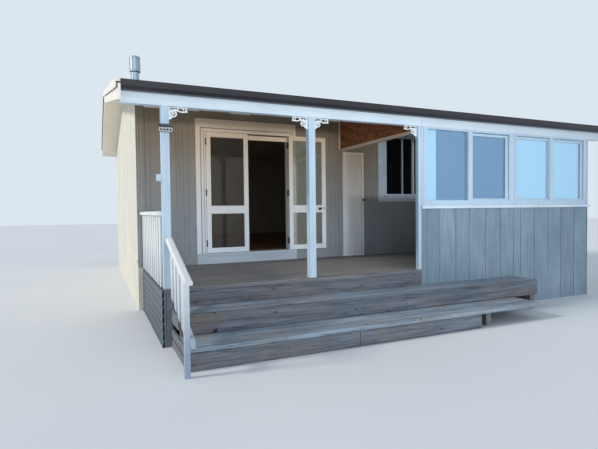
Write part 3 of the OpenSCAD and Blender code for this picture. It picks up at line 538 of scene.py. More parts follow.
# Coated steel after years of weather: matt light grey, with dust down the runs.
ROOFING = sheet_metal("light_corrugated_steel", "#A9ADAE", "#8B8F90", 0.66, dust=0.5)
# Brushed stainless steel: cool grey, with long soft lights up the pipe.
FLUE = sheet_metal("brushed_stainless_flue", "#A3B1BF", "#76848F", 0.32, 1.0, 0.5, "z")
# Steel with a black finish: nearly black, with a small shine on what is round.
BLACK_IRON = sheet_metal("blackened_steel", "#1C1B1A", "#33302C", 0.45)
# Galvanised steel gone dull: dark grey heads and flashings.
NAIL = sheet_metal("dull_galvanised_nail", "#3A3C3E", "#55524E", 0.5)
# Float glass with a painted sky reflection: grey-blue sheen where the porch behind is dark,
# pale where a blind hangs.
SUN_GLASS = window_glass("grey_blue_float_glass", "#86AACA", 0.78)
PALE_GLASS = window_glass("pale_blue_float_glass", "#B8E2FB", 0.88)
# Float glass in the leaves, tinted as a painted reflection: brown and dim in front of the room,
# clear in front of the wall.
LEFT_DOOR_GLASS = window_glass("brown_grey_float_glass", "#5C5249", 0.42)
RIGHT_DOOR_GLASS = window_glass("clear_float_glass", "#D6CCB8", 0.34)
# Float glass with a dark room behind it: drawn black as painted shade.
DARK_GLASS = window_glass("dark_float_glass", "#050608", 0.9, 0.0)
# Moulded plastic slats: a plain pale blue-white.
BLIND = painted_timber("white_plastic_blind", "#DCEAF4", "#CFE0EC", "#BCCCD8", rough=0.5)
# Moulded ABS: charcoal and faintly glossy, milky where light comes through, black in the lenses.
LAMP_BODY = sheet_metal("dark_moulded_plastic", "#2B2C31", "#3A3B40", 0.45)
LAMP_LENS = sheet_metal("milky_moulded_plastic", "#B9BABC", "#9C9EA2", 0.4)
LENS_BLACK = sheet_metal("black_moulded_plastic", "#08080A", "#121214", 0.6)
# Cells under smooth glass: nearly black, with a clear shine and fine grey lines.
SOLAR = solar_cells()

# Mesh helpers.


def finish_piece(name, bm, material, body="house", bevel=0.0):
    """Makes an object of a bmesh, sets its finish and lets it ride on a body."""
    bmesh.ops.recalc_face_normals(bm, faces=bm.faces)
    mesh = bpy.data.meshes.new(name)
    bm.to_mesh(mesh)
    bm.free()
    mesh.materials.append(material)
    piece = bpy.data.objects.new(name, mesh)
    bpy.context.collection.objects.link(piece)
    if bevel:
        edge = piece.modifiers.new("worn_edges", "BEVEL")
        edge.width = bevel / 1000
        edge.segments = 2
        edge.limit_method = "ANGLE"
        edge.angle_limit = math.radians(40)
    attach(piece, body)
    return piece


def prism(bm, corners, sweep):
    """Adds the solid that a flat outline of points sweeps along a vector, in millimetres."""
    sweep = Vector(sweep)
    low = [bm.verts.new(place(*c)) for c in corners]
    high = [bm.verts.new(place(*(Vector(c) + sweep))) for c in corners]
    bm.faces.new(low)
    bm.faces.new(high[::-1])
    for i in range(len(low)):
        j = (i + 1) % len(low)
        bm.faces.new((low[i], high[i], high[j], low[j]))


def block(bm, x0, y0, z0, x1, y1, z1):
    """Adds a box between two corners, in millimetres."""
    prism(bm, [(x0, y0, z0), (x1, y0, z0), (x1, y1, z0), (x0, y1, z0)], (0, 0, z1 - z0))


def border(bm, x0, z0, x1, z1, y0, y1, width):
    """Adds four strips that frame a rectangle from inside, on a wall that faces the front."""
    for a, b, c, d in (
        (x0, z0, x1, z0 + width),
        (x0, z1 - width, x1, z1),
        (x0, z0 + width, x0 + width, z1 - width),
        (x1 - width, z0 + width, x1, z1 - width),
    ):
        block(bm, a, y0, b, c, y1, d)


def turned(bm, centre, axis, profile, sides):
    """Adds a solid of revolution. The profile gives pairs of a radius and a distance along the
    axis, in millimetres."""
    axis = Vector(axis)
    across = axis.orthogonal().normalized()
    other = axis.cross(across)
    rings = []
    for radius, along in profile:
        ring = []
        for i in range(sides):
            angle = 2 * math.pi * i / sides
            out = (across * math.cos(angle) + other * math.sin(angle)) * radius
            ring.append(bm.verts.new(place(*(Vector(centre) + axis * along + out))))
        rings.append(ring)
    for a, b in zip(rings, rings[1:]):
        for i in range(sides):
            j = (i + 1) % sides
            bm.faces.new((a[i], a[j], b[j], b[i]))
    bm.faces.new(rings[0][::-1])
    bm.faces.new(rings[-1])


def clipped(outline, axis, limit, keep_over):
    """The part of a flat outline of (u, z) points on one side of a line."""
    made = []
    for i, b in enumerate(outline):
        a = outline[i - 1]
        ins = [(p[axis] >= limit) if keep_over else (p[axis] <= limit) for p in (a, b)]
        if ins[0] != ins[1]:
            t = (limit - a[axis]) / (b[axis] - a[axis])
            made.append((a[0] + (b[0] - a[0]) * t, a[1] + (b[1] - a[1]) * t))
        if ins[1]:
            made.append(b)
    return made


def strips(outline, joints, gap, hole):
    """Cuts an outline into upright boards at the joints, and around a hole (u0, z0, u1, z1)."""
    us = [p[0] for p in outline]
    cuts = [min(us)] + sorted(j for j in joints if min(us) + 15 < j < max(us) - 15) + [max(us)]
    for a, b in zip(cuts, cuts[1:]):
        lo = a + (gap / 2 if a > min(us) else 0)
        hi = b - (gap / 2 if b < max(us) else 0)
        board = clipped(clipped(outline, 0, lo, True), 0, hi, False)
        if not hole or hi <= hole[0] or lo >= hole[2]:
            yield board
            continue
        if lo < hole[0]:
            yield clipped(board, 0, hole[0], False)
        if hi > hole[2]:
            yield clipped(board, 0, hole[2], True)
        middle = clipped(clipped(board, 0, hole[0], True), 0, hole[2], False)
        yield clipped(middle, 1, hole[1], False)
        yield clipped(middle, 1, hole[3], True)


def boarded_wall(
    node, across, face, depth, outline, joints, material, gap, groove, hole=None, chamfer=2.0
):
    """A wall of upright boards: the boards' faces lie on the wall's own face, and the joints
    between them are sunk. across is the axis that the wall runs along, face its outer face,
    and depth the way inwards. The room side is painted as the room's lining."""
    bm = bmesh.new()

    def point(u, z, d):
        return (u, face + d, z) if across == "x" else (face + d, u, z)

    sign = 1 if depth > 0 else -1
    inward = Vector((0, 1, 0) if across == "x" else (1, 0, 0))
    for board in strips(outline, joints, gap, hole):
        if len(board) > 2:
            prism(bm, [point(u, z, 0) for u, z in board], inward * groove * sign)
    for slab in strips(outline, [], 0, hole):
        if len(slab) > 2:
            behind = [point(u, z, groove * sign) for u, z in slab]
            prism(bm, behind, inward * (depth - groove * sign))
    piece = finish_piece(node + "_boards", bm, material, bevel=chamfer)
    piece.data.materials.append(ROOM_LINING)
    for polygon in piece.data.polygons:
        if polygon.normal.dot(inward * sign) > 0.9:
            polygon.material_index = 1
    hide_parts(node)


def dress(material, *nodes):
    """Gives CAD nodes their finish."""
    for name in nodes:
        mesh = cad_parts[name].data
        mesh.materials.clear()
        mesh.materials.append(material)


# Walls.


def wall_top(y):
    """Height of a wall's top over the deck, just clear of the ceiling."""
    return ceiling(y) - 0.3


def walls():
    """Walls of upright boards. The front wall's boards are cut round the doors and the inner
    window. The joints of the sides and the back are wider and deeper than the front's."""
    wide = {"gap": 18, "groove": 12}
    rear = wall_top(REAR_Y)
    gable = [
        (WALL_Y, -DECK),
        (REAR_Y, -DECK),
        (REAR_Y, rear),
        (RIDGE_Y, wall_top(RIDGE_Y)),
        (WALL_Y, wall_top(WALL_Y)),
    ]
    side_joints = [2750, 3200, 3650, 4290, 4940, 5380, 5820, 6260, 6700, 7140, 7580, 8020, 8400]
    boarded_wall("left_wall", "y", 0, 100, gable, side_joints, SUNNY_WALL, **wide)
    boarded_wall("right_wall", "y", WIDTH, -100, gable, side_joints, SUNNY_WALL, **wide)
    back = [(100, -DECK), (WIDTH - 100, -DECK), (WIDTH - 100, rear), (100, rear)]
    back_joints = [140 + 449 * i for i in range(1, 16)]
    boarded_wall("back_wall", "x", REAR_Y, -100, back, back_joints, SUNNY_WALL, **wide)
    top = wall_top(WALL_Y)
    joints = [133, 208, 604, 651, 713, 793, 1190, 1485, 1820, 2130, 2420, 2980, 3346, 3388]
    joints += [3471, 3534, 3850, 4232, 4299, 4477, 4746, 5021, 5217, 5480, 5740, 6010, 6280]
    joints += [6540, 6800]
    for node, x0, x1, foot, hole in (
        ("front_wall_left", 100, 1011.5, -DECK, None),
        ("front_wall_over_doors", 1011.5, 2582.5, 2220, None),
        ("front_wall_middle", 2582.5, 3626, -DECK, None),
        ("front_wall_over_cupboard", 3626, 4081, 1941.5, None),
        ("front_wall_right", 4081, 7165, -DECK, INNER_WINDOW),
    ):
        outline = [(x0, foot), (x1, foot), (x1, top), (x0, top)]
        cut = {"gap": 7, "groove": 6, "hole": hole, "chamfer": 4.0}
        boarded_wall(node, "x", WALL_Y, 100, outline, joints, PORCH_WALL, **cut)
    under_sill = SILL - SILL_THICKNESS
    low = [(PORCH_X, -DECK), (WIDTH, -DECK), (WIDTH, under_sill), (PORCH_X, under_sill)]
    joints = [3761, 3990, 4292, 4557, 4888, 5193, 5484, 5640, 5949, 6276, 6583, 6915, 7243]
    rough_sawn = {"gap": 11, "groove": 6, "chamfer": 5.0}
    boarded_wall("sunporch_low_wall", "x", 0, 90, low, joints, SUNPORCH_WALL, **rough_sawn)
    side = [(90, -DECK), (WALL_Y, -DECK), (WALL_Y, wall_top(WALL_Y)), (90, wall_top(90))]
    joints = [440 * i for i in range(1, 5)]
    boarded_wall("sunporch_side_wall", "y", WIDTH, -90, side, joints, SUNNY_WALL, **wide)


def wall_trim():
    """Thin boards on the left wall's front end, a bead low on its face, and the boards where the
    porch ceiling meets the wall: pale ones, and between them ones drawn dark as painted shade."""
    bm = bmesh.new()
    for x0, x1 in ((0, 28), (34, 72), (78, 128)):
        block(bm, x0, WALL_Y - 7, 0.5, x1, WALL_Y, ceiling(WALL_Y - 7) - 2)
    finish_piece("corner_boards", bm, PORCH_WALL, bevel=1.5)
    bm = bmesh.new()
    prism(
        bm,
        [(0, WALL_Y, 60), (-12, WALL_Y, 62), (-12, WALL_Y, 128), (0, WALL_Y, 150)],
        (0, REAR_Y - WALL_Y, 0),
    )
    finish_piece("left_wall_bead", bm, SUNNY_WALL, bevel=1.5)
    for name, material, spans in (
        ("pale_frieze_boards", LINING, ((130, 983), (1500, 1847), (2700, 3565))),
        # The dark boards carry painted shade.
        ("shaded_frieze_boards", SHADED_LINING, ((985, 1498), (1849, 2698))),
    ):
        bm = bmesh.new()
        for x0, x1 in spans:
            block(bm, x0, WALL_Y - 16, 2482, x1, WALL_Y, ceiling(WALL_Y - 16) - 1)
        finish_piece(name, bm, material, bevel=1.0)


def skirt():
    """Weatherboards under the deck's left edge, each lapped over the next one down, with nails
    near its foot, and plain boards round the front corner."""
    bm = bmesh.new()
    tops = [-WEATHERBOARD * i for i in range(7)]
    for top in tops:
        foot = max(-DECK, top - WEATHERBOARD)
        lapped = [(60, 0, foot), (84, 0, foot), (84, 0, top - 14), (72, 0, top - 14)]
        prism(bm, lapped, (0, WALL_Y, 0))
    piece = finish_piece("skirt_weatherboards", bm, SKIRT_BOARD, bevel=1.0)
    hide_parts("left_skirt")
    bm = bmesh.new()
    # A dark sheet behind the weatherboards: painted shade in the gaps between them.
    block(bm, 84, 1, -DECK, 90, WALL_Y, 0)
    finish_piece("shaded_skirt_backing", bm, NAIL)
    bm = bmesh.new()
    block(bm, 56, 0, -DECK, 104, 22, -1)
    block(bm, 108, 8, -DECK, 186, 22, -1)
    finish_piece("skirt_corner_boards", bm, CORNER_BOARD, bevel=1.5)
    bm = bmesh.new()
    for top in tops[1:]:
        for y in (60, 780, 1500, 2160):
            centre = (62.5, y, top - WEATHERBOARD + 24)
            turned(bm, centre, (-1, 0, 0), [(5, 0), (5, 1.5), (2, 2.6)], 8)
    finish_piece("skirt_nails", bm, NAIL)


walls()
wall_trim()
skirt()

# Roof.


def corrugated(name, node, y0, y1):
    """Corrugated roofing: 76 mm waves 17 mm deep, as a thin folded sheet with real edges."""
    bm = bmesh.new()
    pitch, per, lap = 76.2, 8, 20
    count = int((ROOF_RIGHT - ROOF_LEFT + 2 * lap) / pitch * per)
    step = (ROOF_RIGHT - ROOF_LEFT + 2 * lap) / count
    rows = []
    for y in (y0, y1):
        for skin in (-0.8, 0.8):
            row = []
            for i in range(count + 1):
                wave = 8.2 * math.cos(2 * math.pi * i / per)
                z = ceiling(y) + (SHEET_FOOT + SHEET_TOP) / 2 + wave + skin
                row.append(bm.verts.new(place(ROOF_LEFT - lap + i * step, y, z)))
            rows.append(row)
    under0, top0, under1, top1 = rows
    for i in range(count):
        bm.faces.new((top0[i], top0[i + 1], top1[i + 1], top1[i]))
        bm.faces.new((under0[i + 1], under0[i], under1[i], under1[i + 1]))
        bm.faces.new((under0[i], under0[i + 1], top0[i + 1], top0[i]))
        bm.faces.new((under1[i + 1], under1[i], top1[i], top1[i + 1]))
    for i in (0, count):
        bm.faces.new((under0[i], top0[i], top1[i], under1[i]))
    piece = finish_piece(name, bm, ROOFING)
    for polygon in piece.data.polygons:
        polygon.use_smooth = abs(polygon.normal.z) > 0.5
    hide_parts(node)


def roof_screws():
    """Roofing screws with round washers, in rows over the purlins."""
    bm = bmesh.new()
    for y in (1190, 2350, 3680, 5060, 5700, 6900, 8060):
        for i in range(35):
            centre = (ROOF_LEFT + 40 + i * 228.6, y, ceiling(y) + SHEET_TOP - 4)
            turned(bm, centre, (0, 0, 1), [(8, 0), (8, 3), (5, 5)], 8)
    finish_piece("roof_screws", bm, ROOFING)


def gutter_folds():
    """The gutter's rolled lip and the rounded fold under its face, which catch the light."""
    bm = bmesh.new()
    left, right = ROOF_LEFT + 25, ROOF_RIGHT - 25
    for y, z, radius in ((-105, GUTTER_FOOT + 93, 8), (-111, GUTTER_FOOT + 33, 4)):
        turned(bm, (left, y, z), (1, 0, 0), [(radius, 0), (radius, right - left)], 12)
    finish_piece("gutter_folds", bm, GUTTER)


def fascia_boards():
    """The beam's face boards, with the joint where the closed porch starts."""
    bm = bmesh.new()
    for x0, x1 in ((ROOF_LEFT + 25, PORCH_X - 3), (PORCH_X + 5, ROOF_RIGHT - 25)):
        block(bm, x0, -7, BEAM_FOOT, x1, 0, GUTTER_FOOT)
    finish_piece("fascia_boards", bm, BEAM_TRIM, bevel=1.5)


def flue_bands():
    """Clamp bands and the dark joint where the flue's sleeve starts."""
    foot = ceiling(FLUE_Y) + SHEET_TOP + FLUE_HEIGHT - SLEEVE_HEIGHT
    bm = bmesh.new()
    ring = [(78, 0), (84, 4), (84, 10), (78, 14)]
    turned(bm, (FLUE_X, FLUE_Y, foot - 14), (0, 0, 1), ring, 32)
    finish_piece("flue_joint", bm, NAIL)
    bm = bmesh.new()
    for z in (foot + 18, foot + 250):
        ring = [(98, 0), (101, 3), (101, 15), (98, 18)]
        turned(bm, (FLUE_X, FLUE_Y, z), (0, 0, 1), ring, 32)
    finish_piece("flue_bands", bm, FLUE)


corrugated("front_corrugated_sheets", "front_roofing", -45, RIDGE_Y - 2)
corrugated("rear_corrugated_sheets", "rear_roofing", RIDGE_Y + 2, 8980)
roof_screws()
gutter_folds()
fascia_boards()
flue_bands()

# Deck and steps.


def baulk(bm, x0, y0, z0, x1, y1, z1, wear, seed, pitch=90, left=None, right=None):
    """A sawn baulk with softened, uneven edges: rings of points along X, pulled inwards.
    left and right give how far an end is cut back at the height of a point."""
    dice = random.Random(seed)
    count = max(2, int((x1 - x0) / pitch))
    rings = []
    for i in range(count + 1):
        ring = []
        for cy, cz, sy, sz in ((y0, z0, 1, 1), (y1, z0, -1, 1), (y1, z1, -1, -1), (y0, z1, 1, -1)):
            cut = wear * (0.5 + dice.random())
            if (sy > 0) == (sz > 0):
                pairs = ((0, cut), (cut, 0))
            else:
                pairs = ((cut, 0), (0, cut))
            for dy, dz in pairs:
                pull = wear * 0.25 * dice.random()
                ring.append((cy + sy * max(dy, pull), cz + sz * max(dz, pull)))
        if left or right:
            middle = (z0 + z1) / 2
            lo_y, hi_y = (ring[0][0] + ring[7][0]) / 2, (ring[3][0] + ring[4][0]) / 2
            ring.insert(8, (lo_y, middle))
            ring.insert(4, (hi_y, middle))
        points = []
        for y, z in ring:
            start_x = x0 + (left(z) if left else 0)
            end_x = x1 - (right(z) if right else 0)
            points.append((start_x + (end_x - start_x) * i / count, y, z))
        rings.append([bm.verts.new(place(*p)) for p in points])
    size = len(rings[0])
    for a, b in zip(rings, rings[1:]):
        for j in range(size):
            k = (j + 1) % size
            bm.faces.new((a[j], a[k], b[k], b[j]))
    bm.faces.new(rings[0][::-1])
    bm.faces.new(rings[-1])


def deck_boards():
    """Deck boards 138 mm wide with 5 mm gaps, screwed down over each joist."""
    bm = bmesh.new()
    screws = bmesh.new()
    width, gap = 138, 5
    for x0, x1, y0 in ((90, PORCH_X, 0), (PORCH_X, WIDTH - 90, 90)):
        y = y0
        i = 0
        while y < WALL_Y - 1:
            end = min(WALL_Y, y + width)
            baulk(bm, x0, y, -BOARD_THICKNESS, x1, end, 0, 2.5, 100 + i, 300)
            if x0 < PORCH_X and end - y > 100:
                for k in range(8):
                    for across in (32, 106):
                        spot = (x0 + 60 + k * 490, y + across, -1)
                        turned(screws, spot, (0, 0, 1), [(4.5, 0), (4.5, 0.8), (2, 1.2)], 6)
            y += width + gap
            i += 1
    piece = finish_piece("deck_boards", bm, DECKING)
    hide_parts("porch_deck")
    finish_piece("deck_screws", screws, NAIL)


def steps():
    """Two wide steps of big sleepers on edge with boards behind them. The upper one is mended at
    its left end with a piece cut to a point."""
    low_y, up_y = LOWER_STEP_Y, UPPER_STEP_Y
    low_back, up_back = low_y + SLEEPER_THICKNESS, up_y + SLEEPER_THICKNESS
    low_top, up_top = RISER - DECK, -RISER
    low_under, up_under = low_top - BOARD_THICKNESS, up_top - BOARD_THICKNESS
    bm = bmesh.new()
    baulk(bm, STEPS_LEFT, low_y, -DECK, 2060, low_back, low_under, 8, 1)
    baulk(bm, 2066, low_y, -DECK, 3858, low_back, low_under, 8, 2)
    piece = finish_piece("lower_step_sleepers", bm, SLEEPER)
    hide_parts("lower_step")
    bm = bmesh.new()
    for i, (x0, x1) in enumerate(((STEPS_LEFT, 2900), (2906, 4972))):
        baulk(bm, x0, low_y, low_under, x1, low_y + 267, low_top, 7, 10 + i)
        baulk(bm, x0, low_y + 273, low_under, x1, up_back, low_top, 5, 20 + i)
    finish_piece("lower_step_boards", bm, TREAD)
    bm = bmesh.new()
    for i in range(5):
        x = 246 + i * 938
        block(bm, x, low_back, -DECK, x + 80, up_back - 1, low_under - 0.3)
    for i in range(6):
        x = 246 + i * 1028
        block(bm, x, up_back + 0.3, -DECK, x + 80, -0.3, up_under - 0.3)
    finish_piece("step_bearers", bm, FRAMING)
    bm = bmesh.new()
    middle = -330

    def scarf(z):
        return abs(z - middle) * (1.0 if z > middle else 1.3)

    def notch(z):
        return -abs(z - middle) * (1.0 if z > middle else 0.85)

    baulk(bm, 664, up_y, low_top, 3050, up_back, up_top, 8, 4, left=notch)
    baulk(bm, 3055, up_y, low_top, 5467, up_back, up_top, 8, 5)
    piece = finish_piece("upper_step_sleepers", bm, SLEEPER)
    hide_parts("upper_step")
    bm = bmesh.new()
    baulk(bm, STEPS_LEFT, up_y, low_top, 642, up_back, up_top, 5, 3, 500, right=scarf)
    finish_piece("upper_step_old_end", bm, OLD_SLEEPER)
    bm = bmesh.new()
    # A black block in the mended joint's gap: painted shade between the two pieces.
    block(bm, 470, up_y + 16, low_top + 2, 670, up_back - 2, up_top - 4)
    finish_piece("upper_step_shaded_joint_gap", bm, BLACK_IRON)
    bm = bmesh.new()
    for i, (x0, x1) in enumerate(((STEPS_LEFT, 3300), (3306, 5467))):
        baulk(bm, x0, up_back + 6, up_under, x1, -193, up_top, 5, 30 + i)
        baulk(bm, x0, -187, up_under, x1, 0, up_top, 5, 40 + i)
    finish_piece("upper_step_boards", bm, TREAD)
    bm = bmesh.new()
    baulk(bm, STEPS_LEFT, 6, up_under, PORCH_X, 50, -BOARD_THICKNESS, 4, 6)
    piece = finish_piece("deck_front_baulk", bm, SLEEPER)
    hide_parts("deck_front_board")
    bm = bmesh.new()
    for x, y, z in (
        (1880, up_y, -300),
        (1880, up_y, -395),
        (3168, up_y, -385),
        (4460, up_y, -330),
        (1655, 6, -93),
        (1655, 6, -181),
        (2075, 6, -124),
        (2050, 6, -189),
        (3120, 6, -120),
        (1200, low_y, -560),
        (2700, low_y, -575),
    ):
        turned(bm, (x, y + 2, z), (0, -1, 0), [(8, 0), (8, 2.4), (3, 3.6)], 10)
    finish_piece("step_bolts", bm, NAIL)


deck_boards()
steps()

# Doors and windows.


def door_trim():
    """Mouldings of the door casing: an outer board and an inner bead, with a groove between them
    painted dark as grime and painted shade, a stop across the head, and the plinth and sill
    carried past the opening."""
    bm = bmesh.new()
    foot, head = 175, 2232
    for x0, x1, top, proud in (
        (CASING_LEFT, 984, head, 12),
        (1000, 1037, 2212, 9),
        (1047, 1066, 2183, 5),
        (2618, CASING_RIGHT, head, 12),
        (2564, 2602, 2212, 9),
        (2530, 2554, 2183, 5),
    ):
        block(bm, x0, LEAF_FRONT - proud, foot, x1, LEAF_FRONT, top)
    block(bm, CASING_LEFT, LEAF_FRONT - 12, head, CASING_RIGHT, LEAF_FRONT, CASING_TOP)
    block(bm, 1037, LEAF_FRONT - 9, 2185, 2564, LEAF_FRONT, 2212)
    finish_piece("casing_mouldings", bm, DOOR_PAINT, bevel=2.0)
    bm = bmesh.new()
    for x0, x1, top in (
        (985, 999, 2231),
        (1038, 1046, 2184),
        (2603, 2617, 2231),
        (2555, 2563, 2184),
    ):
        block(bm, x0, LEAF_FRONT - 1.5, foot, x1, LEAF_FRONT, top)
    block(bm, 999, LEAF_FRONT - 1.5, 2213, 2603, LEAF_FRONT, 2231)
    finish_piece("casing_grooves", bm, GROOVE_DIRT_AND_SHADE)
    bm = bmesh.new()
    block(bm, 1070, LEAF_FRONT + 46, 2070, 2524, LEAF_FRONT + 68, 2146)
    finish_piece("door_head_stop", bm, DOOR_PAINT, bevel=2.0)
    bm = bmesh.new()
    block(bm, CASING_LEFT, LEAF_FRONT - 9, 0.5, CASING_RIGHT, LEAF_FRONT, 126)
    block(bm, CASING_LEFT, LEAF_FRONT - 22, 133, 1075, LEAF_FRONT, 174)
    block(bm, 2519, LEAF_FRONT - 22, 133, CASING_RIGHT, LEAF_FRONT, 174)
    finish_piece("plinth_boards", bm, PLINTH_PAINT, bevel=2.0)


def folded(x, y):
    """A point of the shut right-hand leaf, where it is when the leaf stands open."""
    return 2 * RIGHT_HINGE_X - x, 2 * HINGE_Y - y


def leaf_trim():
    """Glazing beads round each leaf's panes, and on the right-hand leaf its dark knob."""
    panes = (
        (LEAF_FOOT + 72, LEAF_FOOT + 654),
        (LEAF_FOOT + 766, LEAF_FOOT + 1912),
    )
    bm = bmesh.new()
    for foot, top in panes:
        border(bm, 1147.75, foot, 1726.25, top, LEAF_FRONT + 4, LEAF_FRONT + 15, 9)
    finish_piece("left_glazing_beads", bm, DOOR_PAINT, "left_door", 1.5)
    bm = bmesh.new()
    (x0, y0), (x1, y1) = folded(2446.25, LEAF_FRONT + 36), folded(1867.75, LEAF_FRONT + 25)
    for foot, top in panes:
        border(bm, x0, foot, x1, top, y0, y1, 9)
    finish_piece("right_glazing_beads", bm, DOOR_PAINT, "right_door", 1.5)
    bm = bmesh.new()
    x, y = folded(1925, LEAF_FRONT + 40)
    turned(bm, (x, y, LEAF_FOOT + 711), (0, -1, 0), [(24, 0), (24, 2), *KNOB[1:]], 20)
    piece = finish_piece("right_door_knob", bm, BLACK_IRON, "right_door")
    piece.data.shade_smooth()


def hinges():
    """Blackened hinges, three to each leaf: barrels whose middle knuckle is on the leaf, and
    flaps let into the leaf's edge and the frame."""
    third, half_gap, flap_front, flap_back = 34, 2.75, LEAF_FRONT + 2, LEAF_BACK - 3
    plate_front, plate_back = HINGE_Y + 3.6, HINGE_Y + 4.8
    fixed = bmesh.new()
    for x, side, body in ((LEFT_HINGE_X, 1, "left_door"), (RIGHT_HINGE_X, -1, "right_door")):
        moving = bmesh.new()
        for share in (0.08, 0.5, 0.92):
            z = LEAF_FOOT + share * LEAF_HEIGHT
            foot, top = z - 1.5 * third, z + 1.5 * third
            edges = sorted((x - side * half_gap, x - side * (half_gap - 1.2)))
            block(fixed, edges[0], flap_front, foot, edges[1], flap_back, top)
            near = (x + side * half_gap, flap_front)
            far = (x + side * (half_gap - 1.2), flap_back)
            if body == "right_door":
                near, far = folded(*near), folded(*far)
            (x0, y0), (x1, y1) = near, far
            block(moving, min(x0, x1), min(y0, y1), foot, max(x0, x1), max(y0, y1), top)
            for k, bm in ((-1.5, fixed), (-0.5, moving), (0.5, fixed)):
                foot = z + k * third + 0.5
                turned(bm, (x, HINGE_Y, foot), (0, 0, 1), [(8.5, 0), (8.5, third - 1)], 14)
                if bm is fixed:
                    ends = sorted((x - side * 6, x - side * 14))
                    block(bm, ends[0], plate_front, foot, ends[1], plate_back, foot + third - 1)
        finish_piece(body + "_hinge_knuckles", moving, BLACK_IRON, body)
    finish_piece("door_hinges", fixed, BLACK_IRON)


def cupboard_trim():
    """The tall cupboard's raised stiles and rails round a duller panel drawn darker as painted
    shade, its edges painted dark as grime and painted shade, the beads of its frame, and its
    small dark knob."""
    left, right, foot, top, knob_height = 3725.5, 4075.5, 5.5, 1936, 1046
    bm = bmesh.new()
    border(bm, left + 2, foot + 2, right - 2, top - 2, LEAF_FRONT - 7, LEAF_FRONT, 36)
    finish_piece("cupboard_stiles_and_rails", bm, DOOR_PAINT, "cupboard_door", 2.0)
    bm = bmesh.new()
    border(bm, left + 38, foot + 38, right - 38, top - 38, LEAF_FRONT - 1.2, LEAF_FRONT + 8, 7)
    finish_piece("cupboard_panel_edges", bm, GROOVE_DIRT_AND_SHADE, "cupboard_door")
    bm = bmesh.new()
    block(bm, left + 45, LEAF_FRONT - 1, foot + 45, right - 45, LEAF_FRONT + 8, top - 45)
    finish_piece("cupboard_panel", bm, PANEL_PAINT, "cupboard_door", 1.0)
    bm = bmesh.new()
    turned(bm, (right - 21, LEAF_FRONT, knob_height), (0, -1, 0), KNOB, 20)
    piece = finish_piece("cupboard_knob", bm, BLACK_IRON, "cupboard_door")
    piece.data.shade_smooth()
    bm = bmesh.new()
    for x in (PORCH_X - 30, PORCH_X + 32):
        block(bm, x, LEAF_FRONT - 4, 0.5, x + 14, LEAF_FRONT, top)
    finish_piece("cupboard_frame_beads", bm, DOOR_PAINT, bevel=1.5)


def infill_rail():
    """The rail under the woven panel, which hangs below the panel's own edge."""
    low, high = ((corner - ORIGIN) * 1000 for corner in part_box("infill_panel"))
    foot, top = 1941, 1986
    bm = bmesh.new()
    block(bm, low.x - 14, 90, foot, high.x + 14, WALL_Y - 8, top)
    finish_piece("infill_rail", bm, INFILL_PAINT, bevel=2.0)


def inner_window_trim():
    """A stepped bead round the inner window's glass, and its small black catches."""
    bm = bmesh.new()
    border(bm, *INNER_WINDOW, LEAF_FRONT - 5, LEAF_FRONT, 16)
    finish_piece("inner_window_bead", bm, PLINTH_PAINT, bevel=1.5)
    bm = bmesh.new()
    for x, z in ((4560, 1120), (5060, 1120), (5060, 2300)):
        turned(bm, (x, LEAF_FRONT, z), (0, -1, 0), [(11, 0), (11, 10), (5, 16)], 10)
    finish_piece("inner_window_catches", bm, BLACK_IRON)


def sun_panes():
    """The four panes of the sun porch; the right-hand window's look paler, with blinds behind.
    In the left-hand window a blind is drawn over the first bit. Thin clear glass keeps no light
    out of the porch."""
    drawn = 3955
    for name, material, spans in (
        ("left_window_panes", SUN_GLASS, ((drawn, PANES[0] + PANE_WIDTH), (PANES[1], None))),
        ("right_window_panes", PALE_GLASS, ((PANES[0], drawn), (PANES[2], None), (PANES[3], None))),
    ):
        bm = bmesh.new()
        for x0, x1 in spans:
            block(bm, x0, 35, PANE_FOOT, x1 or x0 + PANE_WIDTH, 41, PANE_TOP)
        piece = finish_piece(name, bm, material)
        piece.visible_shadow = False
        piece.visible_diffuse = False
        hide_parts("sunporch_glass")
    bm = bmesh.new()
    slat, spacing = 86, 89
    for first, last in ((3796, drawn), (5560, 6280), (6394, 7010)):
        x = first
        while x < last - 20:
            block(bm, x, 52, PANE_FOOT + 6, min(last, x + slat), 54, PANE_TOP - 30)
            x += spacing
    finish_piece("window_blinds", bm, BLIND)


